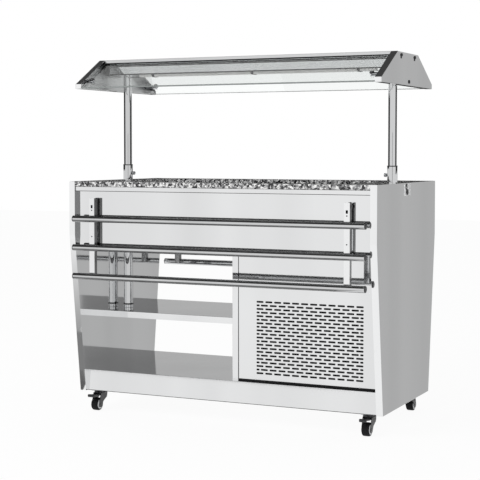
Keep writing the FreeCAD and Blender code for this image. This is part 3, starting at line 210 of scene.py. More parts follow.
def steel_sheet(name, tone, roughness, wave=0.02, grain=0.0):
    """Bright stainless sheet: slow waves, upright bands, wiped smears and, if brushed, grain."""
    material, nodes, links, shader = finish_named(name, tone, 1.0, roughness)
    place = nodes.new("ShaderNodeTexCoord")
    upright = nodes.new("ShaderNodeMapping")
    upright.inputs["Scale"].default_value = (3.0, 3.0, 0.12)
    links.new(place.outputs["Object"], upright.inputs["Vector"])
    bands = nodes.new("ShaderNodeTexNoise")
    bands.inputs["Scale"].default_value = 1.0
    bands.inputs["Detail"].default_value = 2.0
    links.new(upright.outputs["Vector"], bands.inputs["Vector"])
    polish = nodes.new("ShaderNodeValToRGB")
    polish.color_ramp.elements[0].position = 0.35
    polish.color_ramp.elements[0].color = (*(0.925 * part for part in tone), 1)
    polish.color_ramp.elements[1].position = 0.6
    polish.color_ramp.elements[1].color = (*(min(1.01 * part, 1) for part in tone), 1)
    links.new(bands.outputs["Fac"], polish.inputs["Fac"])
    links.new(polish.outputs["Color"], shader.inputs["Base Color"])
    slow = nodes.new("ShaderNodeTexNoise")
    slow.inputs["Scale"].default_value = 2.6
    slow.inputs["Detail"].default_value = 1.0
    links.new(place.outputs["Object"], slow.inputs["Vector"])
    bump = nodes.new("ShaderNodeBump")
    bump.inputs["Strength"].default_value = wave
    bump.inputs["Distance"].default_value = 0.01
    links.new(slow.outputs["Fac"], bump.inputs["Height"])
    links.new(bump.outputs["Normal"], shader.inputs["Normal"])
    wiped = nodes.new("ShaderNodeTexNoise")
    wiped.inputs["Scale"].default_value = 14
    wiped.inputs["Detail"].default_value = 5
    links.new(place.outputs["Object"], wiped.inputs["Vector"])
    spread = nodes.new("ShaderNodeMapRange")
    spread.inputs["To Min"].default_value = roughness * 0.8
    spread.inputs["To Max"].default_value = roughness * 1.25
    links.new(wiped.outputs["Fac"], spread.inputs["Value"])
    links.new(spread.outputs["Result"], shader.inputs["Roughness"])
    if grain:
        stretch = nodes.new("ShaderNodeMapping")
        stretch.inputs["Scale"].default_value = (6, 900, 900)
        links.new(place.outputs["Object"], stretch.inputs["Vector"])
        lines = nodes.new("ShaderNodeTexNoise")
        lines.inputs["Scale"].default_value = 1
        lines.inputs["Detail"].default_value = 3
        links.new(stretch.outputs["Vector"], lines.inputs["Vector"])
        fine = nodes.new("ShaderNodeBump")
        fine.inputs["Strength"].default_value = grain
        fine.inputs["Distance"].default_value = 0.0002
        links.new(lines.outputs["Fac"], fine.inputs["Height"])
        links.new(bump.outputs["Normal"], fine.inputs["Normal"])
        links.new(fine.outputs["Normal"], shader.inputs["Normal"])
    return material


def dress(material, *names):
    """Gives solids that stay in view their finish."""
    for name in names:
        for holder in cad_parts[name].material_slots:
            holder.material = material


# Painted light: copies of one stainless sheet, their tones set per surface to match how lit each
# is.
bright_sheet = steel_sheet("bright_sheet", (0.77, 0.775, 0.78), 0.05)
side_sheet = steel_sheet("side_sheet", (0.86, 0.865, 0.87), 0.05)
shelf_sheet = steel_sheet("shelf_sheet", (0.79, 0.795, 0.80), 0.09, 0.015, 0.05)
dress(bright_sheet, "front_fascia", "rear_fascia", "front_plinth", "rear_plinth", "divider_panel",
      "worktop_frame", "well_box_floor")
dress(side_sheet, "left_side_panel", "right_side_panel", "side_liners")
dress(shelf_sheet, "deck", "mid_shelf")

# ---- Granite worktop -------------------------------------------------------------------
# A polished slab of grey, black and white grains, 20 mm thick, its long edges pencil-rounded,
# bedded on the steel frame and cut out for the cold well.


def outline_ring(bm, *corners):
    """A closed ring of edges through flat corners."""
    points = [bm.verts.new((x, y, 0)) for x, y in corners]
    return [bm.edges.new(pair) for pair in zip(points, points[1:] + points[:1])]


def rounded_ring(bm, half_x, half_y, radius):
    """A ring of edges round a rectangle with rounded corners; no face may be there yet."""
    corners = bmesh.ops.create_grid(bm, x_segments=1, y_segments=1, size=1)["verts"]
    bmesh.ops.scale(bm, vec=(half_x, half_y, 1), verts=corners)
    bmesh.ops.bevel(bm, geom=corners, offset=radius, segments=6, profile=0.5, affect="VERTICES",
                    material=-1)
    sheet = next(iter(bm.faces))
    ring = list(sheet.edges)
    bmesh.ops.delete(bm, geom=[sheet], context="FACES_ONLY")
    return ring


def fill_flat(bm, rings):
    """Fills flat rings, the inner ones staying open as holes, with the sheet facing up."""
    bmesh.ops.triangle_fill(bm, use_beauty=True, use_dissolve=False, edges=rings)
    bmesh.ops.recalc_face_normals(bm, faces=bm.faces)
    if next(iter(bm.faces)).normal.z < 0:
        bmesh.ops.reverse_faces(bm, faces=bm.faces)


def seat(piece, body, finish, *stands_for):
    """Fixes a piece to its body and hides the plain solids it stands for; the finish is not used.
    """
    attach(piece, body)
    if stands_for:
        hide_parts(*stands_for)


granite, nodes, links, shader = finish_named("granite", (0.2, 0.2, 0.2), 0, 0.12)
place = nodes.new("ShaderNodeTexCoord")
grains = nodes.new("ShaderNodeTexVoronoi")
grains.inputs["Scale"].default_value = 150
links.new(place.outputs["Object"], grains.inputs["Vector"])
patches = nodes.new("ShaderNodeTexNoise")
patches.inputs["Scale"].default_value = 48
patches.inputs["Detail"].default_value = 6
patches.inputs["Roughness"].default_value = 0.7
links.new(place.outputs["Object"], patches.inputs["Vector"])
blend = nodes.new("ShaderNodeMix")
blend.data_type = "RGBA"
blend.inputs["Factor"].default_value = 0.55
links.new(grains.outputs["Color"], blend.inputs["A"])
links.new(patches.outputs["Fac"], blend.inputs["B"])
tones = nodes.new("ShaderNodeValToRGB")
tones.color_ramp.elements[0].position = 0.38
tones.color_ramp.elements[0].color = (0.012, 0.012, 0.014, 1)
tones.color_ramp.elements[1].position = 0.66
tones.color_ramp.elements[1].color = (0.86, 0.86, 0.85, 1)
middle = tones.color_ramp.elements.new(0.5)
middle.color = (0.26, 0.26, 0.265, 1)
links.new(blend.outputs["Result"], tones.inputs["Fac"])
links.new(tones.outputs["Color"], shader.inputs["Base Color"])

SLAB_HALF, SLAB_TOP, SLAB_THICK, EDGE_ROUND = (0.600, 0.345), 0.900, 0.020, 0.004
RIM_HALF, RIM_RADIUS, FLAT_CREASE = (0.492, 0.268), 0.020, 0.15
bm = bmesh.new()
rings = rounded_ring(bm, *RIM_HALF, RIM_RADIUS)
rings += outline_ring(bm, *((SLAB_HALF[0] * x, SLAB_HALF[1] * y)
                            for x, y in ((-1, -1), (1, -1), (1, 1), (-1, 1))))
fill_flat(bm, rings)
bmesh.ops.translate(bm, vec=(0, 0, SLAB_TOP), verts=bm.verts)
bmesh.ops.solidify(bm, geom=list(bm.faces), thickness=SLAB_THICK)
long_edges = [edge for edge in bm.edges
              if all(abs(abs(corner.co.y) - SLAB_HALF[1]) < 1e-5 for corner in edge.verts)
              and abs(edge.verts[0].co.x - edge.verts[1].co.x) > 0.1]
bmesh.ops.bevel(bm, geom=long_edges, offset=EDGE_ROUND, segments=4, profile=0.5, affect="EDGES",
                material=-1)
slab = object_from("granite_slab", bm, granite, crease=FLAT_CREASE)
seat(slab, "cabinet", "granite", "worktop")

# ---- Cold well -------------------------------------------------------------------------
# One pressed stainless tank hung in the slab's opening: a ledge for the pan rims, coved
# corners and a drain with a flanged outlet.


def turn_round(bm, centre, axis, outline, steps=40):
    """Spins an outline of (along, radius) points round an axis and returns its points."""
    known = set(bm.verts)
    centre, axis = Vector(centre), Vector(axis)
    across = axis.orthogonal().normalized()
    points = [bm.verts.new(centre + axis * along + across * radius) for along, radius in outline]
    edges = [bm.edges.new(pair) for pair in zip(points, points[1:])]
    bmesh.ops.spin(bm, geom=points + edges, cent=centre, axis=axis, angle=math.tau, steps=steps,
                   use_merge=True)
    made = [point for point in bm.verts if point not in known]
    bmesh.ops.remove_doubles(bm, verts=made, dist=1e-6)
    bmesh.ops.recalc_face_normals(bm, faces=bm.faces)
    return [point for point in bm.verts if point not in known]


def sink(bm, ring, inward, drop):
    """Draws a ring of the tank in and down by one step and returns the new ring."""
    made = bmesh.ops.extrude_edge_only(bm, edges=ring)["geom"]
    for point in made:
        if isinstance(point, bmesh.types.BMVert):
            point.co.x -= math.copysign(inward, point.co.x)
            point.co.y -= math.copysign(inward, point.co.y)
            point.co.z -= drop
    return [edge for edge in made if isinstance(edge, bmesh.types.BMEdge)]


WELL_FLOOR, DRAIN_SPOT, SHEET = 0.690, (0.300, 0.010), 0.0012
TANK_STEPS = ((0, 0.019), (0.001, 0.003), (0.009, 0), (0.002, 0.002), (0, 0.156),
              (0.002, 0.006), (0.006, 0.004))
DRAIN_OUTLINE = ((-0.098, 0.0120), (0.0002, 0.0120), (0.0002, 0.019), (0.0016, 0.018),
                 (0.0020, 0.013), (-0.003, 0.0108), (-0.098, 0.0108), (-0.098, 0.0120))
bm = bmesh.new()
ring = rounded_ring(bm, *RIM_HALF, RIM_RADIUS)
bmesh.ops.translate(bm, vec=(0, 0, SLAB_TOP - SLAB_THICK), verts=bm.verts)
for inward, drop in TANK_STEPS:
    ring = sink(bm, ring, inward, drop)
bmesh.ops.contextual_create(bm, geom=ring)
bmesh.ops.recalc_face_normals(bm, faces=bm.faces)
if min(bm.faces, key=lambda face: face.calc_center_median().z).normal.z < 0:
    bmesh.ops.reverse_faces(bm, faces=bm.faces)
bmesh.ops.solidify(bm, geom=list(bm.faces), thickness=SHEET)
turn_round(bm, (*DRAIN_SPOT, WELL_FLOOR), (0, 0, 1), DRAIN_OUTLINE)
seat(object_from("pressed_tank", bm, shelf_sheet), "cabinet", "mirror_steel", "cold_well")

# ---- Slotted panels --------------------------------------------------------------------
# The machine compartment is closed front and back by folded steel panels, held by small
# screws; the front one is punched with staggered round-ended slots in 21 rows.

SLOT_LENGTH, HALF_SLOT, SLOT_HEIGHT, SLOT_SIDES = 0.0285, 0.0130, 0.0073, 10
COLUMNS, ROWS, COLUMN_PITCH, ROW_PITCH = 12, 11, 0.0356, 0.0133
PANEL_LEFT, PANEL_RIGHT, PANEL_LOW, PANEL_HIGH = 0.048, 0.600, 0.162, 0.650
PANEL_FACE, PANEL_FLANGE, FOLD = 0.245, 0.012, 0.0015
FIELD_LEFT, FIELD_LOW = 0.121, 0.1935


def slot_ring(bm, x, y, length):
    """A ring of edges round one slot, made from a circle pulled apart."""
    half_side = Matrix.Rotation(math.pi / SLOT_SIDES, 4, "Z")
    ring = bmesh.ops.create_circle(bm, cap_ends=False, segments=SLOT_SIDES,
                                   radius=SLOT_HEIGHT / 2, matrix=half_side)["verts"]
    for point in ring:
        point.co.x += math.copysign((length - SLOT_HEIGHT) / 2, point.co.x)
    bmesh.ops.translate(bm, vec=(x, y, 0), verts=ring)
    return list({edge for point in ring for edge in point.link_edges})


def slotted_panel(name, facing, node, fields):
    """A folded panel; fields are (columns, rows, left, low, slot length) in its own face."""
    bm = bmesh.new()
    border = outline_ring(bm, (PANEL_LEFT, PANEL_LOW), (PANEL_RIGHT, PANEL_LOW),
                          (PANEL_RIGHT, PANEL_HIGH), (PANEL_LEFT, PANEL_HIGH))
    rings = list(border)
    for columns, rows, left, low, length in fields:
        for column in range(columns):
            for row in range(rows):
                rings += slot_ring(bm, left + length / 2 + COLUMN_PITCH * column,
                                   low + ROW_PITCH * 2 * row, length)
    fill_flat(bm, rings)
    returns = bmesh.ops.extrude_edge_only(bm, edges=border)["geom"]
    bmesh.ops.translate(bm, vec=(0, 0, -PANEL_FLANGE),
                        verts=[part for part in returns if isinstance(part, bmesh.types.BMVert)])
    bmesh.ops.bevel(bm, geom=border, offset=FOLD, segments=3, profile=0.5, affect="EDGES",
                    material=-1)
    bmesh.ops.solidify(bm, geom=list(bm.faces), thickness=SHEET)
    stand = Matrix.Translation((0, -PANEL_FACE, 0)) @ Matrix.Rotation(math.pi / 2, 4, "X")
    bmesh.ops.transform(bm, matrix=stand, verts=bm.verts)
    if facing > 0:
        bmesh.ops.scale(bm, vec=(1, -1, 1), verts=bm.verts)
        bmesh.ops.reverse_faces(bm, faces=bm.faces)
    panel = object_from(name, bm, bright_sheet, crease=FLAT_CREASE)
    seat(panel, "cabinet", "mirror_steel", node)


between_low = FIELD_LOW + ROW_PITCH
last_half = FIELD_LEFT + COLUMN_PITCH * (COLUMNS - 1) + SLOT_LENGTH - HALF_SLOT
slotted_panel("front_grille", -1, "grille_panel",
              ((COLUMNS, ROWS, FIELD_LEFT, FIELD_LOW, SLOT_LENGTH),
               (COLUMNS - 1, ROWS - 1, FIELD_LEFT + COLUMN_PITCH / 2, between_low, SLOT_LENGTH),
               (1, ROWS - 1, FIELD_LEFT, between_low, HALF_SLOT),
               (1, ROWS - 1, last_half, between_low, HALF_SLOT)))
VENT_COLUMNS, VENT_ROWS, VENT_RISE = 4, 2, 0.100
slotted_panel("rear_access_panel", 1, "rear_service_panel",
              ((VENT_COLUMNS, VENT_ROWS, FIELD_LEFT + COLUMN_PITCH * VENT_COLUMNS,
                FIELD_LOW + VENT_RISE, SLOT_LENGTH),))

SCREW_HEAD = ((0, 0.0032), (0.0008, 0.0030), (0.0014, 0.0020), (0.0016, 0))
SCREW_SIDES, SCREW_SPOTS, SCREW_LEVEL = 16, (0.118, 0.527), 0.168
bm = bmesh.new()
for x in SCREW_SPOTS:
    for y in (-PANEL_FACE, PANEL_FACE):
        turn_round(bm, (x, y, SCREW_LEVEL), (0, math.copysign(1, y), 0), ((0, 0), *SCREW_HEAD),
                   SCREW_SIDES)
seat(object_from("panel_screws", bm, side_sheet), "cabinet", "zinc_steel")

# ---- Machines --------------------------------------------------------------------------
# A black hermetic compressor on rubber mounts, a condenser with its fan and shroud coated near
# black, which is also painted shade for the dark inside of the bay, and copper lines up to the coil
# in the foam under the tank. The channels and plates below, which carry the casters, are
# zinc-plated.


def mottled(name, base, other, metallic, roughness, scale):
    """A finish whose colour and gloss vary in small soft patches."""
    material, nodes, links, shader = finish_named(name, base, metallic, roughness)
    place = nodes.new("ShaderNodeTexCoord")
    patches = nodes.new("ShaderNodeTexNoise")
    patches.inputs["Scale"].default_value = scale
    patches.inputs["Detail"].default_value = 5
    links.new(place.outputs["Object"], patches.inputs["Vector"])
    tones = nodes.new("ShaderNodeValToRGB")
    tones.color_ramp.elements[0].position = 0.35
    tones.color_ramp.elements[0].color = (*base, 1)
    tones.color_ramp.elements[1].position = 0.68
    tones.color_ramp.elements[1].color = (*other, 1)
    links.new(patches.outputs["Fac"], tones.inputs["Fac"])
    links.new(tones.outputs["Color"], shader.inputs["Base Color"])
    spread = nodes.new("ShaderNodeMapRange")
    spread.inputs["To Min"].default_value = roughness * 0.8
    spread.inputs["To Max"].default_value = min(roughness * 1.3, 1)
    links.new(patches.outputs["Fac"], spread.inputs["Value"])
    links.new(spread.outputs["Result"], shader.inputs["Roughness"])
    bump = nodes.new("ShaderNodeBump")
    bump.inputs["Strength"].default_value = 0.15
    bump.inputs["Distance"].default_value = 0.0004
    links.new(patches.outputs["Fac"], bump.inputs["Height"])
    links.new(bump.outputs["Normal"], shader.inputs["Normal"])
    return material


def block_between(bm, low, high):
    """Adds a block between two corners."""
    low, high = Vector(low), Vector(high)
    made = bmesh.ops.create_cube(bm, size=1)["verts"]
    bmesh.ops.scale(bm, vec=high - low, verts=made)
    bmesh.ops.translate(bm, vec=(low + high) / 2, verts=made)
    return made


def soften(bm, width, made=None, segments=2):
    """Rounds the sharp edges of a shape, or of all of them."""
    points = set(made or bm.verts)
    sharp = [edge for edge in bm.edges
             if edge.is_manifold and edge.calc_face_angle() > 0.6 and set(edge.verts) <= points]
    bmesh.ops.bevel(bm, geom=sharp, offset=width, segments=segments, profile=0.5, affect="EDGES",
                    material=-1, clamp_overlap=True)


black_enamel = mottled("black_enamel", (0.008, 0.008, 0.009), (0.014, 0.014, 0.015), 0, 0.35, 30)
zinc = mottled("zinc", (0.52, 0.53, 0.55), (0.64, 0.65, 0.66), 1, 0.32, 60)
copper = mottled("copper", (0.72, 0.40, 0.26), (0.80, 0.50, 0.36), 1, 0.28, 45)
foam = mottled("foam", (0.80, 0.70, 0.45), (0.88, 0.80, 0.58), 0, 0.9, 160)
coated_and_shaded_fins = mottled("coated_and_shaded_fins", (0.012, 0.012, 0.013), (0.03, 0.03, 0.032), 0, 0.6, 90)
POT_X, POT_Y, POT_LOW = 0.410, 0.110, 0.174
POT_OUTLINE = ((0, 0), (0, 0.062), (0.006, 0.071), (0.014, 0.074), (0.098, 0.074),
               (0.100, 0.077), (0.106, 0.077), (0.108, 0.073), (0.128, 0.068), (0.146, 0.056),
               (0.160, 0.038), (0.168, 0.018), (0.168, 0))
FOOT_PLATE_HALF, FOOT_PLATE_LOW = (0.080, 0.060), 0.170
MOUNT_REACH, MOUNT_LOW = (0.066, 0.044), 0.160
MOUNT_OUTLINE = ((0, 0), (0, 0.010), (0.004, 0.008), (0.007, 0.010), (0.016, 0.009),
                 (0.017, 0.004), (0.020, 0.004), (0.020, 0))
TERMINAL_BACK, TERMINAL_FRONT, TERMINAL_HALF, TERMINAL_LEVELS = 0.066, 0.090, 0.022, (0.205, 0.260)
bm = bmesh.new()
turn_round(bm, (POT_X, POT_Y, POT_LOW), (0, 0, 1), POT_OUTLINE)
foot_plate = block_between(
    bm, (POT_X - FOOT_PLATE_HALF[0], POT_Y - FOOT_PLATE_HALF[1], FOOT_PLATE_LOW),
    (POT_X + FOOT_PLATE_HALF[0], POT_Y + FOOT_PLATE_HALF[1], POT_LOW + 0.001))
soften(bm, 0.002, foot_plate)
for side in (-1, 1):
    for end in (-1, 1):
        turn_round(bm, (POT_X + MOUNT_REACH[0] * side, POT_Y + MOUNT_REACH[1] * end, MOUNT_LOW),
                   (0, 0, 1), MOUNT_OUTLINE, 20)
terminal_box = block_between(
    bm, (POT_X - TERMINAL_FRONT, POT_Y - TERMINAL_HALF, TERMINAL_LEVELS[0]),
    (POT_X - TERMINAL_BACK, POT_Y + TERMINAL_HALF, TERMINAL_LEVELS[1]))
soften(bm, 0.003, terminal_box)
seat(object_from("compressor_pot", bm, black_enamel), "cabinet", "black_enamel", "compressor")
# Painted shade: condenser and fan shroud near black, so the slots look as dark as the shaded
# inside.
dress(coated_and_shaded_fins, "condenser", "fan_shroud")
dress(zinc, "caster_channels", "caster_plates")
dress(copper, "cooling_coil", "refrigerant_lines")
dress(foam, "well_insulation")
black_plastic = mottled("black_plastic", (0.016, 0.016, 0.018), (0.024, 0.024, 0.026), 0, 0.36, 120)
dress(black_plastic, "fan_blade")

# ---- Shadow strips and shade sheet -----------------------------------------------------
# Black strips along the joints are painted shadow lines: under the worktop frame, under the plinth
# and at the foot of each machine panel. A thin black sheet behind the slots is painted shade for
# the dark inside of the bay.

rubber_and_shade_black = mottled("rubber_and_shade_black", (0.008, 0.008, 0.009), (0.016, 0.016, 0.017), 0, 0.6, 220)
rubber_and_shade_black.node_tree.nodes["Principled BSDF"].inputs["Specular IOR Level"].default_value = 0.12
# Painted shade: black strips for the shadow lines at joints, a black sheet for the dark inside.
SLOT_SHADE_SHEET = ((0.060, 0.2395, 0.172), (0.588, 0.2425, 0.640))
FOOT_SHADOW_STRIP = ((0.049, 0.2452, 0.1602), (0.599, 0.2490, 0.1680))
PLINTH_SHADOW_STRIP = ((-0.599, 0.2621, 0.0780), (0.599, 0.2632, 0.0797))
FRAME_SHADOW_STRIP = ((-0.599, 0.3302, 0.8626), (0.599, 0.3316, 0.8648))
bm = bmesh.new()
for low, high in (SLOT_SHADE_SHEET, FOOT_SHADOW_STRIP, PLINTH_SHADOW_STRIP, FRAME_SHADOW_STRIP):
    soften(bm, 0.0005, block_between(bm, low, high))
bmesh.ops.mirror(bm, geom=bm.verts[:] + bm.edges[:] + bm.faces[:], merge_dist=-1, axis="Y")
bmesh.ops.recalc_face_normals(bm, faces=bm.faces)
seat(object_from("shadow_strips_and_shade_sheet", bm, rubber_and_shade_black), "cabinet", "grey_rubber")

# ---- Posts and guide tubes -------------------------------------------------------------
# Each canopy leg is a polished round tube that slides in a fixed one; a black bush closes
# the rim, a fluted thumb screw clamps it, and the left tube has a black foot collar.

tube_chrome = steel_sheet("tube_chrome", (0.60, 0.605, 0.61), 0.03, 0.0)
POST_X, POST_RADIUS, POST_WALL, POST_LOW, POST_LENGTH = 0.564, 0.016, 0.002, 0.668, 0.674
GUIDE_RADIUS, GUIDE_WALL, GUIDE_TOP, LEFT_FOOT, RIGHT_FOOT = 0.019, 0.0019, 0.960, 0.378, 0.160
KNOB_X, KNOB_LEVEL, KNOB_SIDES, GRIP_RADIUS, FLUTE_DEPTH = 0.5476, 0.928, 24, 0.0058, 0.14
KNOB_OUTLINE = ((0, 0), (0, 0.0028), (0.0030, 0.0028), (0.0032, 0.0046), (0.0050, 0.0048),
                (0.0054, 0.0062), (0.0064, 0.0070), (0.0140, 0.0070), (0.0152, 0.0060),
                (0.0156, 0.0030), (0.0152, 0))


def open_tube(bm, start, axis, radius, wall, length, steps=48):
    """A tube open at both ends, with eased rims."""
    ease = wall * 0.4
    bore = radius - wall
    turn_round(bm, start, axis,
               ((0, radius - ease), (ease, radius), (length - ease, radius),
                (length, radius - ease), (length, bore + ease), (length - ease, bore),
                (ease, bore), (0, bore + ease), (0, radius - ease)), steps)


for side, name, foot in ((-1, "left", LEFT_FOOT), (1, "right", RIGHT_FOOT)):
    bm = bmesh.new()
    open_tube(bm, (POST_X * side, 0, foot), (0, 0, 1), GUIDE_RADIUS, GUIDE_WALL, GUIDE_TOP - foot)
    seat(object_from(name + "_sleeve", bm, tube_chrome), "cabinet", "chrome_tube",
         name + "_guide_tube")
    bm = bmesh.new()
    open_tube(bm, (POST_X * side, 0, POST_LOW), (0, 0, 1), POST_RADIUS, POST_WALL, POST_LENGTH)
    seat(object_from(name + "_leg", bm, tube_chrome), "canopy", "chrome_tube", name + "_post")
    bm = bmesh.new()
    knob = turn_round(bm, (KNOB_X * side, 0, KNOB_LEVEL), (-side, 0, 0), KNOB_OUTLINE, KNOB_SIDES)
    for point in knob:
        arm = Vector((0, point.co.y, point.co.z - KNOB_LEVEL))
        turn = round(math.atan2(arm.y, arm.z) / math.tau * KNOB_SIDES)
        if arm.length > GRIP_RADIUS and turn % 2:
            point.co -= arm * FLUTE_DEPTH
    seat(object_from(name + "_clamp_screw", bm, zinc), name + "_screw", "zinc_steel",
         name + "_thumb_screw")

BUSH_OUTLINE = ((0, 0.0163), (0, 0.0200), (0.0022, 0.0200), (0.0030, 0.0192), (0.0030, 0.0163),
                (0, 0.0163))
COLLAR_OUTLINE = ((0, 0.0190), (0.0008, 0.0204), (0.0052, 0.0204), (0.0060, 0.0190), (0, 0.0190))
COLLAR_LOW = 0.390
bm = bmesh.new()
for side in (-1, 1):
    turn_round(bm, (POST_X * side, 0, GUIDE_TOP), (0, 0, 1), BUSH_OUTLINE)
turn_round(bm, (-POST_X, 0, COLLAR_LOW), (0, 0, 1), COLLAR_OUTLINE)
seat(object_from("sleeve_bushes", bm, black_plastic), "cabinet", "black_plastic", "guide_rings")

# ---- Canopy ----------------------------------------------------------------------------
# Folded end caps, roof and lamp housing of the same bright sheet. Two clear panes lean from
# the caps' low edges to the roof, gripped by flat jaws with black ringed knobs.


def dull_and_darken_within(material, axis, reach, share, roughness):
    """Dulls and darkens the faces within (middle, half width) along an axis; on the arms, painted
    reflection.
    """
    nodes, links = material.node_tree.nodes, material.node_tree.links
    shader = nodes["Principled BSDF"]
    place = nodes.new("ShaderNodeTexCoord")
    split = nodes.new("ShaderNodeSeparateXYZ")
    links.new(place.outputs["Object"], split.inputs["Vector"])
    depth = nodes.new("ShaderNodeMath")
    depth.operation = "ABSOLUTE"
    links.new(split.outputs[axis], depth.inputs[0])
    inner = nodes.new("ShaderNodeMath")
    inner.operation = "COMPARE"
    inner.inputs[1].default_value = reach[0]
    inner.inputs[2].default_value = reach[1]
    links.new(depth.outputs["Value"], inner.inputs[0])
    shade = nodes.new("ShaderNodeMix")
    shade.data_type = "RGBA"
    shade.blend_type = "MULTIPLY"
    shade.inputs["B"].default_value = (share, share, share, 1)
    links.new(inner.outputs["Value"], shade.inputs["Factor"])
    links.new(shader.inputs["Base Color"].links[0].from_socket, shade.inputs["A"])
    links.new(shade.outputs["Result"], shader.inputs["Base Color"])
    gloss = nodes.new("ShaderNodeMix")
    gloss.inputs["B"].default_value = roughness
    links.new(inner.outputs["Value"], gloss.inputs["Factor"])
    links.new(shader.inputs["Roughness"].links[0].from_socket, gloss.inputs["A"])
    links.new(gloss.outputs["Result"], shader.inputs["Roughness"])
    return material


CAP_INSIDE = (0.6218, 0.0003)
cap_sheet = dull_and_darken_within(steel_sheet("cap_sheet", (0.86, 0.865, 0.87), 0.05), "X",
                        CAP_INSIDE, 0.64, 0.35)
dress(cap_sheet, "left_canopy_cap", "right_canopy_cap")
dress(steel_sheet("canopy_sheet", (0.62, 0.625, 0.63), 0.06), "canopy_top_cover", "lamp_housing")
clear_glass, nodes, links, shader = finish_named("clear_glass", (0.97, 0.985, 0.98), 0, 0.0)
shader.inputs["Transmission Weight"].default_value = 1.0
shader.inputs["IOR"].default_value = 1.45
place = nodes.new("ShaderNodeTexCoord")
handled = nodes.new("ShaderNodeTexNoise")
handled.inputs["Scale"].default_value = 9
handled.inputs["Detail"].default_value = 4
links.new(place.outputs["Object"], handled.inputs["Vector"])
smear = nodes.new("ShaderNodeMapRange")
smear.inputs["From Min"].default_value = 0.55
smear.inputs["To Max"].default_value = 0.03
links.new(handled.outputs["Fac"], smear.inputs["Value"])
links.new(smear.outputs["Result"], shader.inputs["Roughness"])
dress(mottled("diffuser", (0.86, 0.86, 0.84), (0.92, 0.92, 0.90), 0, 0.35, 200), "lamp_bar")
dress(black_plastic, "lamp_clips")

CAP_FACE, CAP_LOW_EDGE, CAP_SILL, ROOF_HALF, ROOF_TOP = 0.623, 0.303, 1.276, 0.122, 1.378
PANE_LOW, PANE_HALF, PANE_LENGTH, PANE_THICK = 1.264, 0.597, 0.2192, 0.006
pane_tilt = math.atan2(ROOF_TOP - CAP_SILL, CAP_LOW_EDGE - ROOF_HALF)
lean = Matrix.Translation((0, -CAP_LOW_EDGE, PANE_LOW)) @ Matrix.Rotation(pane_tilt, 4, "X")
ground_edge = mottled("ground_edge", (0.22, 0.24, 0.235), (0.30, 0.32, 0.315), 0, 0.6, 300)
for side, row in ((-1, "front"), (1, "rear")):
    bm = bmesh.new()
    block_between(bm, (-PANE_HALF, 0, -PANE_THICK), (PANE_HALF, PANE_LENGTH, 0))
    for face in bm.faces:
        face.material_index = 0 if abs(face.normal.z) > 0.5 else 1
    bmesh.ops.bevel(bm, geom=bm.edges[:], offset=0.0005, segments=1, profile=0.5, affect="EDGES",
                    material=1)
    bmesh.ops.transform(bm, matrix=lean, verts=bm.verts)
    if side > 0:
        bmesh.ops.scale(bm, vec=(1, -1, 1), verts=bm.verts)
        bmesh.ops.reverse_faces(bm, faces=bm.faces)
    seat(object_from(row + "_pane", bm, clear_glass, ground_edge), "canopy", "clear_glass",
         row + "_glass")

# Painted shade: black strips at the panes' top edges and the lamp housing's lip and seam.
STRIP_HALF, ROOF_STRIP, HOUSING_STRIP = 0.5965, (0.1975, 0.2050), (-0.0848, -0.0841)
HOUSING_STRIP_LEVELS = ((1.3168, 1.3212), (1.3492, 1.3538))
bm = bmesh.new()
block_between(bm, (-STRIP_HALF, ROOF_STRIP[0], 0.0001), (STRIP_HALF, ROOF_STRIP[1], 0.0014))
bmesh.ops.transform(bm, matrix=lean, verts=bm.verts)
for low, high in HOUSING_STRIP_LEVELS:
    block_between(bm, (-STRIP_HALF, HOUSING_STRIP[0], low), (STRIP_HALF, HOUSING_STRIP[1], high))
soften(bm, 0.0003)
bmesh.ops.mirror(bm, geom=bm.verts[:] + bm.edges[:] + bm.faces[:], merge_dist=-1, axis="Y")
bmesh.ops.recalc_face_normals(bm, faces=bm.faces)
seat(object_from("canopy_shadow_strips", bm, rubber_and_shade_black), "canopy", "grey_rubber")

UPPER_JAW = ((0.567, 0.046, 0.0), (0.6215, 0.058, 0.004))
LOWER_JAW = ((0.567, 0.046, -0.010), (0.6215, 0.058, -0.006))
JAW_BRIDGE = ((0.598, 0.046, -0.0062), (0.6215, 0.058, 0.0002))
GRIP_SPOT = (0.573, 0.052)
GRIP_SCREW = ((0, 0), (0, 0.0045), (0.0045, 0.0045), (0.0058, 0.0035), (0.0062, 0))
GRIP_RING = ((0, 0.0046), (0, 0.0080), (0.0012, 0.0088), (0.0036, 0.0088), (0.0048, 0.0078),
             (0.0048, 0.0046), (0, 0.0046))
bm = bmesh.new()
for low, high in (UPPER_JAW, LOWER_JAW, JAW_BRIDGE):
    soften(bm, 0.0012, block_between(bm, low, high))
turn_round(bm, (*GRIP_SPOT, 0.0035), (0, 0, 1), GRIP_SCREW, 24)
steel_faces = set(bm.faces)
turn_round(bm, (*GRIP_SPOT, 0.0038), (0, 0, 1), GRIP_RING, 24)
for face in bm.faces:
    face.material_index = 0 if face in steel_faces else 1
bmesh.ops.transform(bm, matrix=lean, verts=bm.verts)
for across in ("X", "Y"):
    bmesh.ops.mirror(bm, geom=bm.verts[:] + bm.edges[:] + bm.faces[:], merge_dist=-1, axis=across)
bmesh.ops.recalc_face_normals(bm, faces=bm.faces)
seat(object_from("pane_grips", bm, zinc, black_plastic), "canopy", "zinc_steel", "glass_clamps")

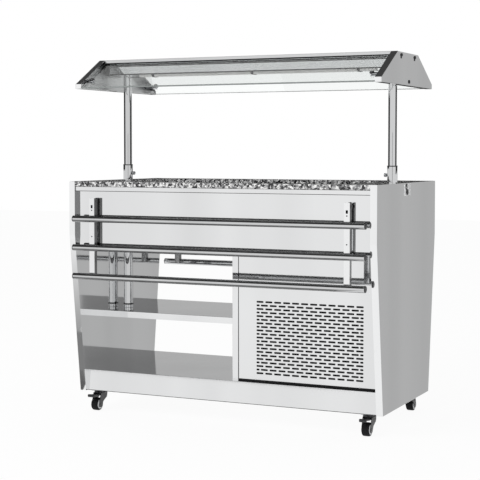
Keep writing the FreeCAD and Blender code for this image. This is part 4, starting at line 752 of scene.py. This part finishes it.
LEFT_DOME, RIGHT_DOME, FIXING_REACH, FIXING_LEVEL = 0.0019, 0.0048, 0.080, 1.3660
TAB_DEPTH, TAB_STAND, TAB_LOW, TAB_HIGH = 0.0005, 0.0018, 1.3530, 1.3605
EYELET_Y, EYELET_LEVEL = 0.012, 1.2725
bm = bmesh.new()
for side, dome in ((-1, LEFT_DOME), (1, RIGHT_DOME)):
    for y in (-FIXING_REACH, FIXING_REACH):
        turn_round(bm, (CAP_FACE * side, y, FIXING_LEVEL), (side, 0, 0),
                   ((0, 0), (0, 0.0062), (dome * 0.5, 0.0060), (dome * 0.85, 0.0044), (dome, 0)),
                   24)
        inner, outer = sorted(((CAP_FACE - TAB_DEPTH) * side, (CAP_FACE + TAB_STAND) * side))
        soften(bm, 0.0005, block_between(bm, (inner, y - 0.0070, TAB_LOW),
                                         (outer, y + 0.0010, TAB_HIGH)))
    turn_round(bm, (CAP_FACE * side, EYELET_Y, EYELET_LEVEL), (side, 0, 0),
               ((0, 0.0040), (0, 0.0070), (dome * 0.5, 0.0066), (dome * 0.5, 0.0044),
                (0, 0.0040)), 24)
seat(object_from("cap_fixings", bm, black_plastic), "canopy", "black_plastic")

# ---- Tray slides -----------------------------------------------------------------------
# Three polished rails along each long side, welded into two hinged arms and closed with
# black end plugs. The arms hang on brackets bolted to the fascia and fold up on their pins.

RAIL_HALF, RAIL_RADIUS, RAIL_WALL, RAIL_Y, END_GAP = 0.594, 0.01246, 0.0015, 0.372, 0.0035
RAIL_LEVELS = (0.758, 0.648, 0.538)
PLUG_DEPTH = 0.0155
PLUG_OUTLINE = ((0, 0), (0, 0.0100), (0.0119, 0.0108), (0.0121, 0.0122), (0.0142, 0.0122),
                (PLUG_DEPTH, 0.0100), (PLUG_DEPTH, 0))
ARM_X, ARM_FACE, ARM_SHEET, RIVET_LEVELS = 0.518, 0.3605, 0.0022, (0.7910, 0.6905)
RIVET_OUTLINE = ((0, 0), (0, 0.0026), (0.0006, 0.0024), (0.0008, 0))
arm_steel = steel_sheet("arm_steel", (0.84, 0.845, 0.85), 0.10, 0.01)
behind_face = (ARM_FACE - ARM_SHEET) / 2
# Painted reflection: arm flanges behind the web face darkened, for the dark surroundings they
# mirror.
dull_and_darken_within(arm_steel, "Y", (behind_face, behind_face), 0.30, 0.2)
dress(arm_steel, "front_tray_arms", "rear_tray_arms", "tray_pivot_pins")
dress(black_enamel, "tray_brackets")
for side, name in ((-1, "front"), (1, "rear")):
    rails = bmesh.new()
    plugs = bmesh.new()
    for level in RAIL_LEVELS:
        open_tube(rails, (END_GAP - RAIL_HALF, RAIL_Y * side, level), (1, 0, 0), RAIL_RADIUS,
                  RAIL_WALL, RAIL_HALF * 2 - END_GAP * 2)
        for end in (-1, 1):
            turn_round(plugs, ((RAIL_HALF - PLUG_DEPTH) * end, RAIL_Y * side, level), (end, 0, 0),
                       PLUG_OUTLINE, 32)
    seat(object_from(name + "_rails", rails, tube_chrome), name + "_tray", "chrome_tube",
         name + "_tray_tubes")
    seat(object_from(name + "_rail_plugs", plugs, black_plastic), name + "_tray", "black_plastic")
    bm = bmesh.new()
    for end in (-1, 1):
        for level in RIVET_LEVELS:
            turn_round(bm, (ARM_X * end, ARM_FACE * side, level), (0, side, 0), RIVET_OUTLINE, 16)
    seat(object_from(name + "_arm_rivets", bm, black_plastic), name + "_tray", "black_plastic")

# ---- Switch and cable gland ------------------------------------------------------------
# A small steel plate at the top of the right-hand panel carries a black rocker switch in
# its bezel and, under it, the gland where a supply lead would enter.

PANEL_SKIN, PLATE_FACE, PLATE_LEVELS, PLATE_ENDS = 0.625, 0.6265, (0.8525, 0.8985), (-0.042, 0.026)
PLATE_SCREW_ENDS, PLATE_SCREW_LEVEL = (-0.036, 0.020), 0.8755
SWITCH_Y, SWITCH_Z, GLAND_Y, GLAND_Z = -0.024, 0.886, -0.016, 0.866
bm = bmesh.new()
soften(bm, 0.0006, block_between(bm, (PANEL_SKIN - 0.0002, PLATE_ENDS[0], PLATE_LEVELS[0]),
                                 (PLATE_FACE, PLATE_ENDS[1], PLATE_LEVELS[1])))
for y in PLATE_SCREW_ENDS:
    turn_round(bm, (PLATE_FACE, y, PLATE_SCREW_LEVEL), (1, 0, 0), ((0, 0), *SCREW_HEAD),
               SCREW_SIDES)
plate_steel = steel_sheet("plate_steel", (0.93, 0.935, 0.94), 0.5, 0.0)
seat(object_from("switch_mount", bm, plate_steel), "cabinet", "mirror_steel", "switch_plate")

BEZEL_HALF, BEZEL_RADIUS, BEZEL_THICK, BEZEL_STAND = (0.0086, 0.0118), 0.0020, 0.0022, 0.0012
WINDOW_HALF = (0.0052, 0.0102)
bm = bmesh.new()
bezel = rounded_ring(bm, *BEZEL_HALF, BEZEL_RADIUS)
bezel += outline_ring(bm, *((WINDOW_HALF[0] * x, WINDOW_HALF[1] * y)
                            for x, y in ((-1, -1), (1, -1), (1, 1), (-1, 1))))
fill_flat(bm, bezel)
bmesh.ops.solidify(bm, geom=list(bm.faces), thickness=BEZEL_THICK)
stand = Matrix.Translation((PLATE_FACE + BEZEL_STAND, SWITCH_Y, SWITCH_Z))
turned = Matrix.Rotation(math.pi / 2, 4, "Z") @ Matrix.Rotation(math.pi / 2, 4, "X")
bmesh.ops.transform(bm, verts=bm.verts, matrix=stand @ turned)
seat(object_from("switch_bezel", bm, black_plastic), "cabinet", "black_plastic")

PADDLE_WIDTH = 0.0098
PADDLE_OUTLINE = ((-0.0060, -0.0070), (0.0005, -0.0092), (0.0020, -0.0090), (0.0012, -0.0040),
                  (0.0015, 0.0000), (0.0026, 0.0045), (0.0044, 0.0086), (0.0005, 0.0092),
                  (-0.0060, 0.0070))
bm = bmesh.new()
fill_flat(bm, outline_ring(bm, *PADDLE_OUTLINE))
bmesh.ops.solidify(bm, geom=list(bm.faces), thickness=PADDLE_WIDTH)
stand = Matrix.Translation((PANEL_SKIN, SWITCH_Y - PADDLE_WIDTH / 2, SWITCH_Z))
bmesh.ops.transform(bm, verts=bm.verts, matrix=stand @ Matrix.Rotation(math.pi / 2, 4, "X"))
soften(bm, 0.0005)
seat(object_from("rocker_paddle", bm, black_plastic), "rocker", "black_plastic", "switch_rocker")

GLAND_OUTLINE = ((-0.014, 0.0040), (-0.014, 0.0066), (0, 0.0066), (0, 0.0112), (0.0022, 0.0110),
                 (0.0029, 0.0098), (0.0029, 0.0070), (0.0022, 0.0062), (0.0022, 0.0040),
                 (-0.014, 0.0040))
bm = bmesh.new()
turn_round(bm, (PLATE_FACE, GLAND_Y, GLAND_Z), (1, 0, 0), GLAND_OUTLINE, 36)
seat(object_from("lead_gland", bm, black_plastic), "cabinet", "black_plastic", "power_gland")

# ---- Casters ---------------------------------------------------------------------------
# Four black swivel casters: pressed forks on a ball race, moulded wheels with light thread
# guards, and a foot brake over each front wheel.

CASTER_X, CASTER_Y, TRAIL, WHEEL_RADIUS, WHEEL_HALF = 0.560, 0.232, 0.026, 0.025, 0.014
guard_plastic = mottled("guard_plastic", (0.60, 0.61, 0.62), (0.68, 0.69, 0.70), 0, 0.3, 120)
fork_black = mottled("fork_black", (0.014, 0.014, 0.016), (0.024, 0.024, 0.026), 0, 0.28, 80)
TYRE_OUTLINE = ((-WHEEL_HALF, 0.0040), (-WHEEL_HALF, 0.0205), (-0.0132, 0.0230),
                (-0.0110, 0.0245), (-0.0070, WHEEL_RADIUS), (0.0070, WHEEL_RADIUS),
                (0.0110, 0.0245), (0.0132, 0.0230), (WHEEL_HALF, 0.0205), (WHEEL_HALF, 0.0040),
                (-WHEEL_HALF, 0.0040))
GUARD_OUTLINE = ((-0.001, 0.0045), (-0.001, 0.0186), (0.0004, 0.0186), (0.0012, 0.0172),
                 (0.0012, 0.0045), (-0.001, 0.0045))
RACE_OUTLINE = ((0, 0.0052), (-0.001, 0.018), (0, 0.0215), (0.0035, 0.0240), (0.0080, 0.0240),
                (0.0110, 0.0215), (0.0110, 0.0052), (0, 0.0052))
AXLE_OUTLINE = ((0, 0), (0, 0.0052), (0.0008, 0.0058), (0.0010, 0.0035), (0.0366, 0.0035),
                (0.0368, 0.0058), (0.0376, 0.0052), (0.0376, 0))
FORK_SIDE = ((-0.024, 0.0685), (0.0235, 0.0685), (0.0345, 0.036), (0.0380, 0.022),
             (0.0340, 0.0135), (0.0260, 0.0120), (0.0180, 0.0135), (0.0140, 0.022),
             (0.0080, 0.034), (-0.020, 0.048))
FORK_BRIDGE = ((-0.0165, -0.014, 0.060), (0.0165, 0.020, 0.066))
FORK_SHEET, FORK_GAP, RACE_LOW, AXLE_END = 0.0025, 0.0155, 0.064, -0.0188
LEVER_SIDE = ((-0.018, 0.0578), (-0.018, 0.0622), (-0.042, 0.0640), (-0.060, 0.0672),
              (-0.070, 0.0690), (-0.074, 0.0660), (-0.072, 0.0580), (-0.068, 0.0580),
              (-0.069, 0.0635), (-0.042, 0.0590))
LEVER_WIDTH = 0.028


def at_corner(bm, side, end):
    """Moves a caster piece from the middle to its corner; it is modelled trailing to the front."""
    bmesh.ops.scale(bm, vec=(side, -end, 1), verts=bm.verts)
    bmesh.ops.translate(bm, vec=(CASTER_X * side, CASTER_Y * end, 0), verts=bm.verts)
    bmesh.ops.recalc_face_normals(bm, faces=bm.faces)


def fork_leg(bm, x):
    """One pressed leg of the fork, its outline filled, thickened and eased."""
    leg = bmesh.new()
    fill_flat(leg, outline_ring(leg, *FORK_SIDE))
    bmesh.ops.bevel(leg, geom=leg.verts[:], offset=0.004, segments=3, profile=0.5,
                    affect="VERTICES", material=-1)
    bmesh.ops.solidify(leg, geom=list(leg.faces), thickness=FORK_SHEET)
    upright = Matrix(((0, 0, 1, 0), (-1, 0, 0, 0), (0, 1, 0, 0), (0, 0, 0, 1)))
    bmesh.ops.transform(leg, verts=leg.verts, matrix=Matrix.Translation((x, 0, 0)) @ upright)
    kept = bpy.data.meshes.new("leg")
    leg.to_mesh(kept)
    leg.free()
    bm.from_mesh(kept)
    bpy.data.meshes.remove(kept)


for end, row in ((-1, "front"), (1, "rear")):
    for side, hand in ((-1, "left"), (1, "right")):
        corner = row + "_" + hand
        bm = bmesh.new()
        turn_round(bm, (0, -TRAIL, WHEEL_RADIUS), (1, 0, 0), TYRE_OUTLINE)
        tyre_faces = set(bm.faces)
        for cheek in (-1, 1):
            turn_round(bm, (WHEEL_HALF * cheek, -TRAIL, WHEEL_RADIUS), (cheek, 0, 0),
                       GUARD_OUTLINE)
        for face in bm.faces:
            face.material_index = 0 if face in tyre_faces else 1
        at_corner(bm, side, end)
        seat(object_from(corner + "_tyre", bm, rubber_and_shade_black, guard_plastic), corner + "_wheel",
             "grey_rubber", corner + "_wheel")

        bm = bmesh.new()
        turn_round(bm, (0, 0, RACE_LOW), (0, 0, 1), RACE_OUTLINE)
        for x in (FORK_GAP + FORK_SHEET, -FORK_GAP):
            fork_leg(bm, x)
        soften(bm, 0.001, block_between(bm, *FORK_BRIDGE))
        turn_round(bm, (AXLE_END, -TRAIL, WHEEL_RADIUS), (1, 0, 0), AXLE_OUTLINE, 24)
        at_corner(bm, side, end)
        seat(object_from(corner + "_yoke", bm, fork_black), corner + "_caster", "black_enamel",
             corner + "_fork")

        if row == "rear":
            continue
        bm = bmesh.new()
        fill_flat(bm, outline_ring(bm, *LEVER_SIDE))
        bmesh.ops.solidify(bm, geom=list(bm.faces), thickness=LEVER_WIDTH)
        centred = Matrix.Translation((LEVER_WIDTH / 2, 0, 0))
        upright = Matrix(((0, 0, 1, 0), (1, 0, 0, 0), (0, 1, 0, 0), (0, 0, 0, 1)))
        bmesh.ops.transform(bm, verts=bm.verts, matrix=centred @ upright)
        soften(bm, 0.0009)
        at_corner(bm, side, end)
        seat(object_from(corner + "_brake_lever", bm, black_plastic), corner + "_pedal",
             "black_plastic", corner + "_brake_pedal")
